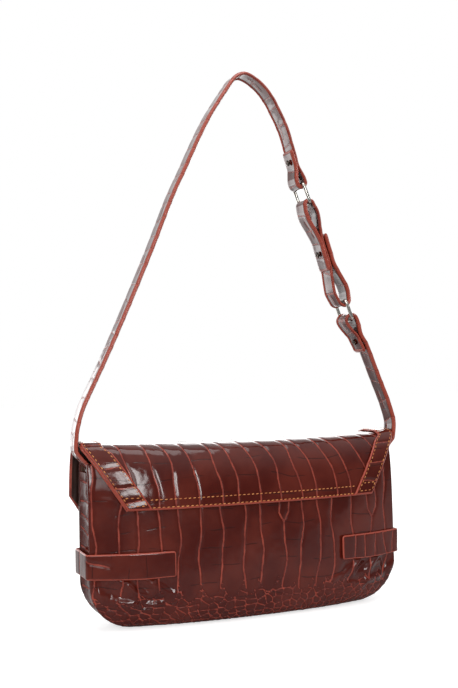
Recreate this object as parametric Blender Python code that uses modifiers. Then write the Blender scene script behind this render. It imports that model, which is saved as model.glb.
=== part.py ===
"""A small flap-over shoulder bag in embossed leather, with side belts and a ringed strap.

Frame: metres, +Z up, the bag stands on its base at Z = 0, its width runs along X,
the flap's sewn back faces +Y and the opening side of the flap hangs at -Y.
"""
import math

import bmesh
import bpy
from mathutils import Matrix

# Body of the bag
BODY_HALF_WIDTH = 0.122
CORNER_RADIUS = 0.033
DEPTH_MIDDLE = 0.031
DEPTH_END = 0.0150
PLAN_POWER = 2.6
WAIST_HEIGHT = 0.040
ROOF_HEIGHT = 0.127
PANEL_DROP = 0.010
PANEL_TOP = ROOF_HEIGHT - PANEL_DROP
GUSSET_DROP = 0.017
GUSSET_TOP = ROOF_HEIGHT - GUSSET_DROP
ROOF_SAG = 0.002
ROOF_POWER = 4.0
BASE_SHARE = 0.62
PANEL_THICKNESS = 0.0022
RIM_LEAN = 0.35
GUSSET_THICKNESS = 0.0020
GUSSET_INSET = 0.0005
LINING_THICKNESS = 0.0010
LINING_DROP = 0.012
LINING_TOP = ROOF_HEIGHT - LINING_DROP
FIT_GAP = 0.0004

# Flap, with its sewn back, its hanging front and the border strips
FLAP_OVERHANG = 0.0035
FLAP_HALF_WIDTH = BODY_HALF_WIDTH + FLAP_OVERHANG
FLAP_THICKNESS = 0.0030
FLAP_BACK_LOW = 0.083
FLAP_BACK_CORNER_RUN = 0.0280
FLAP_BACK_LOW_HALF_WIDTH = FLAP_HALF_WIDTH - FLAP_BACK_CORNER_RUN
FLAP_FRONT_LOW = 0.064
FLAP_FRONT_CORNER = 0.090
FLAP_FRONT_DEPTH_END = 0.028
FLAP_FRONT_DEPTH_MIDDLE = 0.034
FLAP_DIAGONAL_SLOPE = 1.54
FOLD_DROP = 0.008
FOLD_HEIGHT = ROOF_HEIGHT - FOLD_DROP
FOLD_GAP = 0.0004
TRIM_WIDTH = 0.0145
TRIM_INSET = 0.0006
TRIM_THICKNESS = 0.0016
TRIM_CORNER_SHARE = 1.19
TRIM_GAP = 0.0006
BEND_WEIGHT = 0.012

# Side belts and the buckle that joins them across the front
BELT_LOW = 0.0365
BELT_WIDTH = 0.018
BELT_THICKNESS = 0.0022
BELT_CORNER = 0.0020
BELT_TIP_SHARE = 0.62
BELT_HOLES = (0.0085, 0.0190, 0.0295)
BELT_HOLE_RADIUS = 0.0011
BELT_LEFT_BACK_END = 0.0630
BELT_RIGHT_BACK_END = 0.0685
BELT_TIP_END = 0.052
BELT_LIFT_START = 0.078
BELT_LIFT_LENGTH = 0.018
BELT_STEP_START = -0.0125
BELT_STEP_LENGTH = 0.0170
BELT_DROP_START = 0.009
BELT_DROP_LENGTH = 0.024
BELT_FOLD_START = 0.0115
BELT_FOLD_LENGTH = 0.0130
BELT_FOLD_RUN_IN = 0.004
BELT_SLOT_LENGTH = 0.0125
BELT_SLOT_DEPTH = 0.0086
BELT_SLOT_SHIFT = 0.001
BUCKLE_PIN_X = 0.0075
BUCKLE_BAR_X = -0.0140
BUCKLE_WIRE = 0.0015
BUCKLE_CORNER = 0.0022
BUCKLE_SIDE_CLEARANCE = 0.0012
PRONG_RADIUS = 0.0009
PRONG_EYE_CLEARANCE = 0.0003
PRONG_EYE_HALF = 0.0009
PRONG_PLAY = 0.0006
PRONG_OVERHANG = 0.12
PRONG_HOLE_X = -0.0018
PRONG_HOLE_LENGTH = 0.0090
PRONG_HOLE_DEPTH = 0.020
KEEPER_X = 0.038
KEEPER_WIDTH = 0.008
KEEPER_THICKNESS = 0.0012
KEEPER_CLEARANCE = 0.0006
KEEPER_CORNER = 0.0017

# Magnetic snap under the flap
SNAP_DROP = 0.049
SNAP_HEIGHT = ROOF_HEIGHT - SNAP_DROP
SNAP_RADIUS = 0.009
SNAP_THICKNESS = 0.0012
SNAP_STUD_RADIUS = 0.0070
SNAP_WASHER_RADIUS = 0.007
SNAP_WASHER_THICKNESS = 0.0008
SNAP_GAP = 0.0003

# Shoulder strap, link and rings
STRAP_WIDTH = 0.014
STRAP_THICKNESS = 0.0024
STRAP_ROOT_THICKNESS = 0.0022
STRAP_ROOT_WIDTH = 0.0125
STRAP_TAPER_LENGTH = 0.045
STRAP_ROOT_DEPTH = 0.018
STRAP_ROOT_LOW = GUSSET_TOP - STRAP_ROOT_DEPTH
STRAP_PIVOT_Z = ROOF_HEIGHT
STRAP_SIDE_CLEARANCE = 0.0028
STRAP_PIVOT_X = FLAP_HALF_WIDTH + STRAP_SIDE_CLEARANCE
STRAP_BULGE = 0.0007
STRAP_REACH = STRAP_PIVOT_X + STRAP_BULGE
STRAP_PEAK = 0.4065
STRAP_STEP = 0.009
STRAP_LOOP_STEP = 0.003
STRAP_ROOT_STEP = 0.003
STRAP_BEND_STEP = 0.13
STRAP_CLEAR_SHARE = 1.25
# The strap's two legs from the middle of its peak down: shares of its reach and of its rise
ARCH_LEFT = ((-0.047, 1.0), (0.010, 0.987), (0.062, 0.955), (0.116, 0.918), (0.178, 0.873),
             (0.248, 0.812), (0.333, 0.730), (0.419, 0.648), (0.535, 0.519), (0.682, 0.365),
             (0.814, 0.233), (0.930, 0.125), (0.969, 0.079), (0.988, 0.040))
ARCH_RIGHT = ((0.047, 1.0), (0.105, 0.993), (0.169, 0.973), (0.229, 0.942), (0.276, 0.904),
              (0.324, 0.858), (0.362, 0.812), (0.388, 0.770), (0.443, 0.680), (0.712, 0.355),
              (0.800, 0.281), (0.857, 0.218), (0.908, 0.158), (0.950, 0.112), (0.981, 0.072),
              (1.000, 0.036))
UPPER_RING_Z = 0.317
LOWER_RING_Z = 0.2265
LAYER_GAP = 0.0004
LOOP_INNER_RADIUS = 0.0030
LOOP_LENGTH = 0.0135
FOLD_BACK_LENGTH = 0.026
RIVET_SETBACK = 0.0185
LINK_LAP = 0.0125
LINK_SWELL = 1.25
LINK_SWELL_PLACE = 2.2
LONG_END_LEAN = -5.0
SHORT_END_LEAN = 8.0
RING_WIRE = 0.0014
RING_CORNER = 0.0028
RING_INNER_LENGTH = 0.0130
RING_SIDE_CLEARANCE = 0.0007
LOOP_SEAT_GAP = 0.0004
LOOP_FREE_GAP = 0.0008
RIVET_HEAD_RADIUS = 0.0031
RIVET_HEAD_HEIGHT = 0.0015
RIVET_POST_RADIUS = 0.0015
RIVET_CAP_RADIUS = 0.0024
RIVET_CAP_HEIGHT = 0.0012
RIVET_GAP = 0.0003

# The lining stands clear of the gusset, of the strap roots and of the panels
LINING_FLOOR = GUSSET_THICKNESS + 2 * FIT_GAP
LINING_SIDE_GAP = GUSSET_INSET + GUSSET_THICKNESS + STRAP_ROOT_THICKNESS + 4 * FIT_GAP
LINING_FACE_GAP = PANEL_THICKNESS + 4 * FIT_GAP

# How far each layer of a folded strap end lies from the fold's middle
FOLD_LAYER = (STRAP_THICKNESS + LAYER_GAP) / 2

# Axes that the moving pieces turn about, in the XZ plane or across the flap
FLAP_AXIS = (0.0, -0.0298, FOLD_HEIGHT)
STRAP_AXIS = (0.0, 0.0, STRAP_PIVOT_Z)

LEATHER = (0.085, 0.012, 0.010)
SUEDE = (0.230, 0.120, 0.070)
METAL = (0.62, 0.60, 0.57)

for old in list(bpy.data.objects):
    bpy.data.objects.remove(old, do_unlink=True)

PARTS = bpy.data.collections.new("handbag")
CUTTERS = bpy.data.collections.new("cutters")
bpy.context.scene.collection.children.link(PARTS)
bpy.context.scene.collection.children.link(CUTTERS)


def finish(name, colour, roughness, metallic):
    """A plain material with the sub-part's own colour and gloss."""
    material = bpy.data.materials.new(name)
    material.use_nodes = True
    shader = material.node_tree.nodes["Principled BSDF"]
    shader.inputs["Base Color"].default_value = (*colour, 1.0)
    shader.inputs["Roughness"].default_value = roughness
    shader.inputs["Metallic"].default_value = metallic
    return material


def leather(name):
    return finish(name, LEATHER, 0.35, 0.0)


def metal(name):
    return finish(name, METAL, 0.22, 1.0)


def add_object(name, mesh, material, collection=PARTS):
    thing = bpy.data.objects.new(name, mesh)
    mesh.materials.append(material)
    collection.objects.link(thing)
    return thing


def add_bmesh(name, bm, material):
    """Close a bmesh into a named part, its faces pointing out."""
    bmesh.ops.recalc_face_normals(bm, faces=bm.faces)
    mesh = bpy.data.meshes.new(name)
    bm.to_mesh(mesh)
    bm.free()
    mesh.shade_smooth()
    mesh.set_sharp_from_angle(angle=math.radians(35))
    return add_object(name, mesh, material)


def add_slab(name, outer, inner, material, closed=False):
    """A leather piece between two grids of points: its outer face and its inner face."""
    bm = bmesh.new()
    rows = len(outer)
    columns = len(outer[0])
    out = [[bm.verts.new(p) for p in row] for row in outer]
    inn = [[bm.verts.new(p) for p in row] for row in inner]
    last = columns if closed else columns - 1
    for i in range(rows - 1):
        for j in range(last):
            k = (j + 1) % columns
            bm.faces.new((out[i][j], out[i][k], out[i + 1][k], out[i + 1][j]))
            bm.faces.new((inn[i][j], inn[i + 1][j], inn[i + 1][k], inn[i][k]))
    for j in range(last):
        k = (j + 1) % columns
        bm.faces.new((out[0][k], out[0][j], inn[0][j], inn[0][k]))
        bm.faces.new((out[-1][j], out[-1][k], inn[-1][k], inn[-1][j]))
    if not closed:
        for i in range(rows - 1):
            bm.faces.new((out[i][0], out[i + 1][0], inn[i + 1][0], inn[i][0]))
            bm.faces.new((out[i + 1][-1], out[i][-1], inn[i][-1], inn[i + 1][-1]))
    return add_bmesh(name, bm, material)


def add_sweep(name, rings, material, closed=False):
    """A solid that joins one ring of points to the next, capped unless it closes on itself."""
    bm = bmesh.new()
    loops = [[bm.verts.new(p) for p in ring] for ring in rings]
    count = len(loops[0])
    steps = len(loops) if closed else len(loops) - 1
    for i in range(steps):
        a = loops[i]
        b = loops[(i + 1) % len(loops)]
        for j in range(count):
            k = (j + 1) % count
            bm.faces.new((a[j], a[k], b[k], b[j]))
    if not closed:
        bm.faces.new(loops[0])
        bm.faces.new(list(reversed(loops[-1])))
    return add_bmesh(name, bm, material)


def spread(start, end, count):
    return [start + (end - start) * i / (count - 1) for i in range(count)]


def smooth_step(t):
    t = min(max(t, 0.0), 1.0)
    return t * t * (3 - 2 * t)


# Shape of the pillow that the body, the lining and the flap share

def half_width(z):
    """Half of the body's width, which turns in round the lower corners."""
    if z >= CORNER_RADIUS:
        return BODY_HALF_WIDTH
    drop = CORNER_RADIUS - max(z, 0.0)
    return BODY_HALF_WIDTH - CORNER_RADIUS + math.sqrt(CORNER_RADIUS ** 2 - drop ** 2)


def plan_depth(x, end, middle, reach=BODY_HALF_WIDTH):
    share = min(abs(x) / reach, 1.0) ** PLAN_POWER
    return end + (middle - end) * (1 - share)


def roof_height(x):
    """The top of the pillow, which sags a little towards the middle of the bag."""
    return ROOF_HEIGHT - ROOF_SAG * (1 - (x / FLAP_HALF_WIDTH) ** 2)


def body_depth(x, z):
    """How far the body's face stands from the middle plane at (x, z)."""
    depth = plan_depth(x, DEPTH_END, DEPTH_MIDDLE, half_width(z))
    if z >= WAIST_HEIGHT:
        share = roof_share(z, roof_height(x))
    else:
        drop = (WAIST_HEIGHT - z) / WAIST_HEIGHT
        share = BASE_SHARE + (1 - BASE_SHARE) * math.sqrt(max(1 - drop ** 2, 0.0))
    return depth * share


def roof_share(z, top):
    rise = min(max((z - WAIST_HEIGHT) / (top - WAIST_HEIGHT), 0.0), 1.0)
    return (1 - rise ** ROOF_POWER) ** (1 / ROOF_POWER)


def flap_point(x, angle, offset):
    """A point of the flap's section at x: angle 0 is the back waist, 90 the top, 180 the front."""
    end = DEPTH_END if angle <= 90 else FLAP_FRONT_DEPTH_END
    middle = DEPTH_MIDDLE if angle <= 90 else FLAP_FRONT_DEPTH_MIDDLE
    depth = plan_depth(x, end, middle, FLAP_HALF_WIDTH) + offset
    rise = roof_height(x) + offset - WAIST_HEIGHT
    turn = math.radians(angle)
    across = abs(math.cos(turn)) ** (2 / ROOF_POWER)
    up = abs(math.sin(turn)) ** (2 / ROOF_POWER)
    side = 1 if angle <= 90 else -1
    return (x, side * depth * across, WAIST_HEIGHT + rise * up)


def angle_at(x, z, offset, front):
    """The section angle at which the flap's face lies at height z."""
    low = 90.0 if front else 0.0
    high = 180.0 if front else 90.0
    for _ in range(40):
        middle = (low + high) / 2
        above = flap_point(x, middle, offset)[2] > z
        if above == front:
            low = middle
        else:
            high = middle
    return (low + high) / 2


def even_angles(x, start, end, offset, count):
    """Angles between two others, an even way apart and closer together round the bends."""
    fine = spread(start, end, 121)
    points = [flap_point(x, a, offset) for a in fine]
    lengths = [0.0]
    heading = None
    for a, b in zip(points, points[1:]):
        new_heading = math.atan2(b[2] - a[2], b[1] - a[1])
        bend = abs(new_heading - heading) if heading is not None else 0.0
        bend = min(bend, 2 * math.pi - bend)
        lengths.append(lengths[-1] + math.dist(a, b) + bend * BEND_WEIGHT)
        heading = new_heading
    result = []
    index = 0
    for target in spread(0.0, lengths[-1], count):
        while index < len(fine) - 2 and lengths[index + 1] < target:
            index += 1
        step = lengths[index + 1] - lengths[index]
        part = (target - lengths[index]) / step if step else 0.0
        result.append(fine[index] + (fine[index + 1] - fine[index]) * min(part, 1.0))
    return result


# Body panels, gusset and lining

def panel_heights():
    turns = [math.radians(15 * i) for i in range(7)]
    lower = [WAIST_HEIGHT * (1 - math.cos(t)) for t in turns]
    return lower + spread(WAIST_HEIGHT, PANEL_TOP, 8)[1:]


def make_panel(name, side):
    shares = spread(-1.0, 1.0, 23)
    outer = []
    inner = []
    for z in panel_heights():
        turn = math.acos(1 - min(z / WAIST_HEIGHT, 1.0))
        outer_row = []
        inner_row = []
        for u in shares:
            x = u * half_width(z)
            outer_row.append((x, side * body_depth(x, z), z))
            x_in = x - math.copysign(PANEL_THICKNESS * RIM_LEAN * abs(u) ** 6, u)
            y_in = body_depth(x, z) - PANEL_THICKNESS * math.sin(turn)
            inner_row.append((x_in, side * y_in, z + PANEL_THICKNESS * math.cos(turn)))
        outer.append(outer_row)
        inner.append(inner_row)
    return add_slab(name, outer, inner, leather(name))


def outline_path():
    """The body's outline from the top of the +X side, round the base, to the other top."""
    points = []
    for z in spread(GUSSET_TOP, CORNER_RADIUS, 7)[:-1]:
        points.append((BODY_HALF_WIDTH, z, 0.0))
    centre = BODY_HALF_WIDTH - CORNER_RADIUS
    for i in range(9):
        turn = math.radians(90 * i / 8)
        x = centre + CORNER_RADIUS * math.cos(turn)
        z = CORNER_RADIUS * (1 - math.sin(turn))
        points.append((x, z, turn))
    for x in spread(centre, 0.0, 7)[1:]:
        points.append((x, 0.0, math.pi / 2))
    mirrored = [(-x, z, math.pi - turn) for x, z, turn in reversed(points[:-1])]
    return points + mirrored


def make_gusset():
    outer = []
    inner = []
    for x, z, turn in outline_path():
        sideways = abs(math.cos(turn))
        inset = GUSSET_INSET * sideways
        margin = FIT_GAP + (PANEL_THICKNESS - 0.0001) * sideways
        half = body_depth(x, z) - margin
        out_x = x - inset * math.cos(turn)
        in_x = x - (inset + GUSSET_THICKNESS) * math.cos(turn)
        in_z = z + GUSSET_THICKNESS * math.sin(turn)
        outer.append([(out_x, y, z) for y in spread(-half, half, 4)])
        inner.append([(in_x, y, in_z) for y in spread(-half, half, 4)])
    return add_slab("gusset", outer, inner, leather("gusset"))


def lining_ring(z):
    """One level of the lining, a ring of points inside the body."""
    level = max(z - LINING_FLOOR, 0.0)
    reach = half_width(level) - LINING_SIDE_GAP
    ring = []
    for side in (1, -1):
        for u in spread(-side, side, 15):
            x = u * reach
            y = body_depth(u * half_width(level), level) - LINING_FACE_GAP
            ring.append((x, side * y, z))
    return ring


def make_lining():
    bm = bmesh.new()
    turns = [math.radians(18 * i) for i in range(6)]
    heights = [LINING_FLOOR + WAIST_HEIGHT * (1 - math.cos(t)) for t in turns]
    heights += spread(heights[-1], LINING_TOP, 6)[1:]
    rings = [[bm.verts.new(p) for p in lining_ring(z)] for z in heights]
    for a, b in zip(rings, rings[1:]):
        for j in range(len(a)):
            k = (j + 1) % len(a)
            bm.faces.new((a[j], a[k], b[k], b[j]))
    floor = rings[0]
    for j in range(14):
        bm.faces.new((floor[j], floor[j + 1], floor[28 - j], floor[29 - j]))
    lining = add_bmesh("lining", bm, finish("lining", SUEDE, 0.85, 0.0))
    shell = lining.modifiers.new("wall", "SOLIDIFY")
    shell.thickness = LINING_THICKNESS
    shell.offset = -1.0
    return lining


# Flap, from its sewn back edge over the roof to its hanging front

def back_edge(x):
    """Height of the flap's sewn lower edge on the back, which rises along the diagonals."""
    return FLAP_BACK_LOW + FLAP_DIAGONAL_SLOPE * max(abs(x) - FLAP_BACK_LOW_HALF_WIDTH, 0.0)


def front_edge(x):
    """Height of the flap's lower edge in front, which rises along the diagonals to the corners."""
    run = (FLAP_FRONT_CORNER - FLAP_FRONT_LOW) / FLAP_DIAGONAL_SLOPE
    reach = FLAP_HALF_WIDTH - run
    return FLAP_FRONT_LOW + FLAP_DIAGONAL_SLOPE * max(abs(x) - reach, 0.0)


def flap_columns():
    run = (FLAP_FRONT_CORNER - FLAP_FRONT_LOW) / FLAP_DIAGONAL_SLOPE
    inner = min(FLAP_BACK_LOW_HALF_WIDTH, FLAP_HALF_WIDTH - run)
    outer = max(FLAP_BACK_LOW_HALF_WIDTH, FLAP_HALF_WIDTH - run)
    half = spread(0.0, inner, 9) + [outer] + spread(outer, FLAP_HALF_WIDTH, 4)[1:]
    return [-x for x in reversed(half[1:])] + half


def fold_angle(x, shift):
    """The section angle of the fold line, moved along the leather by half the fold's gap."""
    middle = FIT_GAP + FLAP_THICKNESS / 2
    return angle_at(x, FOLD_HEIGHT - shift, middle, True)


def make_flap(name, front):
    middle = FIT_GAP + FLAP_THICKNESS / 2
    outer = []
    inner = []
    for x in flap_columns():
        if front:
            start = fold_angle(x, FOLD_GAP / 2)
            end = angle_at(x, front_edge(x), middle, True)
        else:
            start = angle_at(x, back_edge(x), middle, False)
            end = fold_angle(x, -FOLD_GAP / 2)
        angles = even_angles(x, start, end, middle, 9 if front else 15)
        outer.append([flap_point(x, a, FIT_GAP + FLAP_THICKNESS) for a in angles])
        inner.append([flap_point(x, a, FIT_GAP) for a in angles])
    return add_slab(name, outer, inner, leather(name))


def trim_edge(angle, front):
    """Where a border strip's outer edge lies at a section angle."""
    middle = FIT_GAP + FLAP_THICKNESS / 2
    x = FLAP_HALF_WIDTH
    for _ in range(30):
        z = flap_point(x, angle, middle)[2]
        if front:
            reach = FLAP_HALF_WIDTH - max(FLAP_FRONT_CORNER - z, 0.0) / FLAP_DIAGONAL_SLOPE
        else:
            reach = FLAP_BACK_LOW_HALF_WIDTH + (z - FLAP_BACK_LOW) / FLAP_DIAGONAL_SLOPE
        x = (x + min(reach, FLAP_HALF_WIDTH)) / 2
    slanted = x < FLAP_HALF_WIDTH - 0.0005
    width = TRIM_WIDTH * (TRIM_CORNER_SHARE if slanted else 1.0)
    return x - TRIM_INSET, width


def make_trim(name, front, side):
    low = FIT_GAP + FLAP_THICKNESS + TRIM_GAP
    high = low + TRIM_THICKNESS
    middle = FIT_GAP + FLAP_THICKNESS / 2
    if front:
        start = fold_angle(FLAP_HALF_WIDTH, FOLD_GAP / 2)
        reach = FLAP_HALF_WIDTH - (FLAP_FRONT_CORNER - FLAP_FRONT_LOW) / FLAP_DIAGONAL_SLOPE
        end = angle_at(reach, FLAP_FRONT_LOW, middle, True)
    else:
        start = angle_at(FLAP_BACK_LOW_HALF_WIDTH, FLAP_BACK_LOW, middle, False)
        end = fold_angle(FLAP_HALF_WIDTH, -FOLD_GAP / 2)
    outer = []
    inner = []
    for angle in even_angles(FLAP_HALF_WIDTH, start, end, middle, 9 if front else 17):
        edge, width = trim_edge(angle, front)
        across = [side * x for x in spread(edge - width, edge, 4)]
        outer.append([flap_point(x, angle, high) for x in across])
        inner.append([flap_point(x, angle, low) for x in across])
    return add_slab(name, outer, inner, leather(name))


def add_disc(name, radius, length, place, material, segments=24):
    """A disc whose axis runs along Y, with its middle at place."""
    bm = bmesh.new()
    bmesh.ops.create_cone(bm, cap_ends=True, segments=segments, radius1=radius, radius2=radius,
                          depth=length)
    rim = [edge for edge in bm.edges if all(abs(v.co.z) > length * 0.4 for v in edge.verts)]
    flat = [edge for edge in rim if abs(edge.verts[0].co.z - edge.verts[1].co.z) < length * 0.1]
    bmesh.ops.bevel(bm, geom=flat, offset=length * 0.2, segments=1, affect="EDGES", profile=0.5)
    mesh = bpy.data.meshes.new(name)
    bm.to_mesh(mesh)
    bm.free()
    mesh.shade_smooth()
    mesh.set_sharp_from_angle(angle=math.radians(35))
    disc = add_object(name, mesh, material)
    disc.location = place
    disc.rotation_euler = (math.radians(90), 0.0, 0.0)
    return disc


def make_snap():
    """The magnetic snap: its socket on the front panel, its stud on the flap, its washer inside."""
    face = body_depth(0.0, SNAP_HEIGHT)
    angle = angle_at(0.0, SNAP_HEIGHT, FIT_GAP, True)
    cover = -flap_point(0.0, angle, FIT_GAP)[1]
    socket_y = face + SNAP_GAP + SNAP_THICKNESS / 2
    add_disc("snap_socket", SNAP_RADIUS, SNAP_THICKNESS, (0.0, -socket_y, SNAP_HEIGHT),
             metal("snap_socket"))
    stud_outer = cover - 2 * SNAP_GAP
    stud_inner = face + 2 * SNAP_GAP + SNAP_THICKNESS
    add_disc("snap_stud", SNAP_STUD_RADIUS, stud_outer - stud_inner,
             (0.0, -(stud_outer + stud_inner) / 2, SNAP_HEIGHT), metal("snap_stud"))
    washer_y = face - PANEL_THICKNESS - SNAP_GAP - SNAP_WASHER_THICKNESS / 2
    add_disc("snap_washer", SNAP_WASHER_RADIUS, SNAP_WASHER_THICKNESS,
             (0.0, -washer_y, SNAP_HEIGHT), metal("snap_washer"))


# Side belts, with the buckle and the keeper on the front

def plan_normal(x, z):
    """The direction straight out of the body's back face, in plan."""
    step = 0.0005
    inner = max(x - step, 0.0)
    slope = (body_depth(x, z) - body_depth(inner, z)) / (x - inner)
    length = math.hypot(slope, 1.0)
    return (-slope / length, 1.0 / length)


def belt_stations(z, back_end, front_end):
    """Points with normals round the +X end of the body, from the belt's back end to its front."""
    reach = half_width(z)
    depth = body_depth(reach, z)
    tilt = math.atan2(plan_normal(reach, z)[1], plan_normal(reach, z)[0])
    stations = []
    back = spread(back_end, reach, 9)[:-1]
    for x in [back[0], back[0] + BELT_CORNER] + back[1:]:
        stations.append((x, body_depth(x, z), plan_normal(x, z)))
    for turn in spread(tilt, 0.0, 4):
        stations.append((reach, depth, (math.cos(turn), math.sin(turn))))
    stations.append((reach, 0.0, (1.0, 0.0)))
    for turn in spread(0.0, -tilt, 4):
        stations.append((reach, -depth, (math.cos(turn), math.sin(turn))))
    for x in spread(reach, front_end, 26)[1:]:
        normal = plan_normal(abs(x), z) if abs(x) > 0.001 else (0.0, 1.0)
        sign = 1 if x >= 0 else -1
        stations.append((x, -body_depth(x, z), (sign * normal[0], -normal[1])))
    return stations


def belt_rest(x, y):
    """How far a belt's inner face stands off the body: a little more in front, for the keeper."""
    if y > 0:
        return FIT_GAP
    share = smooth_step((BELT_LIFT_START - abs(x)) / BELT_LIFT_LENGTH)
    return FIT_GAP + share * (KEEPER_THICKNESS + FIT_GAP)


def front_rest():
    return FIT_GAP + KEEPER_THICKNESS + FIT_GAP


def bar_height():
    """How far the middle of the buckle's two bars stands off the front panel."""
    return front_rest() + BELT_THICKNESS + FIT_GAP + BUCKLE_WIRE


def tip_height(x):
    """How far the belt tip's inner face stands off: under the outer bar, then over the fold."""
    over_fold = bar_height() + BUCKLE_WIRE + 2 * FIT_GAP + BELT_THICKNESS
    on_belt = front_rest() + BELT_THICKNESS + FIT_GAP
    up = smooth_step((x - BELT_STEP_START) / BELT_STEP_LENGTH)
    down = smooth_step((x - BELT_DROP_START) / BELT_DROP_LENGTH)
    return (over_fold - front_rest()) * up - (over_fold - on_belt) * down


def belt_grids(back_end, front_end, lift, front_share):
    """A belt's outer and inner faces, narrower at its back end's corners and at its front end."""
    middle = BELT_LOW + BELT_WIDTH / 2
    outer = []
    inner = []
    for z in spread(BELT_LOW, BELT_LOW + BELT_WIDTH, 3):
        stations = belt_stations(z, back_end, front_end)
        heights = [z] * len(stations)
        heights[0] = middle + (z - middle) * (1 - 2 * BELT_CORNER / BELT_WIDTH)
        heights[-1] = middle + (z - middle) * front_share
        rests = [belt_rest(x, y) + (lift(-x) if y < 0 else 0.0) for x, y, _ in stations]
        inner.append([(x + n[0] * r, y + n[1] * r, high)
                      for (x, y, n), r, high in zip(stations, rests, heights)])
        thick = [r + BELT_THICKNESS for r in rests]
        outer.append([(x + n[0] * r, y + n[1] * r, high)
                      for (x, y, n), r, high in zip(stations, thick, heights)])
    return outer, inner


def mirrored(grid):
    return [[(-x, y, z) for x, y, z in row] for row in grid]


def make_belt_tip():
    """The belt round the -X end, whose tip runs through the buckle and the keeper."""
    outer, inner = belt_grids(BELT_RIGHT_BACK_END, -BELT_TIP_END, tip_height, BELT_TIP_SHARE)
    belt = add_slab("belt_right", mirrored(outer), mirrored(inner), leather("belt_right"))
    middle = BELT_LOW + BELT_WIDTH / 2
    cut_slot(belt, (PRONG_HOLE_X, -body_depth(PRONG_HOLE_X, middle) - bar_height(), middle),
             (PRONG_HOLE_LENGTH, PRONG_HOLE_DEPTH, 2 * (PRONG_RADIUS + PRONG_PLAY)))
    for place, x in enumerate(BELT_HOLES):
        base = body_depth(x, middle) + front_rest() + tip_height(x) + BELT_THICKNESS / 2
        bpy.ops.mesh.primitive_cylinder_add(vertices=12, radius=BELT_HOLE_RADIUS,
                                            depth=2 * BELT_THICKNESS, location=(x, -base, middle),
                                            rotation=(math.radians(90), 0.0, 0.0))
        cutter = bpy.context.object
        cutter.name = "belt_right_hole_" + str(place + 1)
        file_cutter(cutter, belt)


def cut_slot(target, place, size):
    """A straight slot through a belt, for the prong."""
    bpy.ops.mesh.primitive_cube_add(size=1.0, location=place)
    cutter = bpy.context.object
    cutter.name = target.name + "_slot"
    cutter.scale = size
    file_cutter(cutter, target)


def file_cutter(cutter, target):
    """Hide a cutter, keep it with the others and cut it out of its target."""
    for home in list(cutter.users_collection):
        home.objects.unlink(cutter)
    CUTTERS.objects.link(cutter)
    cutter.hide_render = True
    cutter.display_type = "WIRE"
    cut = target.modifiers.new("cut", "BOOLEAN")
    cut.operation = "DIFFERENCE"
    cut.object = cutter


def make_belt_buckle_side():
    """The belt round the +X end, folded back round the buckle's pin bar."""
    outer, inner = belt_grids(BELT_LEFT_BACK_END, BELT_FOLD_START, lambda x: 0.0, 1.0)
    rows = [row[0][2] for row in outer]
    middle = BELT_LOW + BELT_WIDTH / 2
    centre = bar_height()
    radius = BUCKLE_WIRE + FIT_GAP + BELT_THICKNESS / 2
    layer = front_rest() + BELT_THICKNESS / 2
    route = [(BUCKLE_PIN_X + BELT_FOLD_RUN_IN, layer)]
    for turn in spread(-90.0, -270.0, 9):
        angle = math.radians(turn)
        route.append((BUCKLE_PIN_X + radius * math.cos(angle), centre + radius * math.sin(angle)))
    over = layer + BELT_THICKNESS + FIT_GAP
    top = centre + radius
    for t in spread(0.0, 1.0, 6)[1:]:
        x = BUCKLE_PIN_X + t * BELT_FOLD_LENGTH
        route.append((x, top + (over - top) * smooth_step(t)))
    base = -body_depth(BUCKLE_PIN_X, middle)
    for place, z in enumerate(rows):
        for point, following in zip(route, route[1:] + [None]):
            if following is None:
                following = point
                point = route[-2]
                spot = following
            else:
                spot = point
            run = (following[0] - point[0], following[1] - point[1])
            length = math.hypot(*run)
            side = (run[1] / length * BELT_THICKNESS / 2, -run[0] / length * BELT_THICKNESS / 2)
            x, high = spot
            outer[place].append((x + side[0], base - (high + side[1]), z))
            inner[place].append((x - side[0], base - (high - side[1]), z))
    belt = add_slab("belt_left", outer, inner, leather("belt_left"))
    cut_slot(belt, (BUCKLE_PIN_X - BELT_SLOT_SHIFT, base - centre, middle),
             (BELT_SLOT_LENGTH, BELT_SLOT_DEPTH, 2 * (PRONG_EYE_HALF + PRONG_PLAY)))


def wire_rings(points, normals, radius, sides):
    """Circles of a round wire at each point of its path, across the path's own direction."""
    rings = []
    for point, (outward, across) in zip(points, normals):
        ring = []
        for j in range(sides):
            turn = 2 * math.pi * j / sides
            c = radius * math.cos(turn)
            s = radius * math.sin(turn)
            ring.append(tuple(point[k] + c * outward[k] + s * across[k] for k in range(3)))
        rings.append(ring)
    return rings


def rounded_frame(half_a, half_b, corner, steps):
    """Points and outward directions round a rectangle with round corners, in two axes."""
    result = []
    for quarter, (sa, sb) in enumerate(((1, 1), (-1, 1), (-1, -1), (1, -1))):
        for i in range(steps + 1):
            turn = math.radians(90 * (quarter + i / steps))
            a = sa * (half_a - corner) + corner * math.cos(turn)
            b = sb * (half_b - corner) + corner * math.sin(turn)
            result.append((a, b, math.cos(turn), math.sin(turn)))
    return result


def make_wire_frame(name, centre, axis_a, axis_b, halves, corner, wire, sides=10, steps=5):
    """A closed frame of round wire in the plane of two axes."""
    axis_c = cross(axis_a, axis_b)
    points = []
    normals = []
    for a, b, out_a, out_b in rounded_frame(halves[0], halves[1], corner, steps):
        points.append(tuple(centre[k] + a * axis_a[k] + b * axis_b[k] for k in range(3)))
        outward = tuple(out_a * axis_a[k] + out_b * axis_b[k] for k in range(3))
        normals.append((outward, axis_c))
    return add_sweep(name, wire_rings(points, normals, wire, sides), metal(name), closed=True)


def cross(a, b):
    return (a[1] * b[2] - a[2] * b[1], a[2] * b[0] - a[0] * b[2], a[0] * b[1] - a[1] * b[0])


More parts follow.
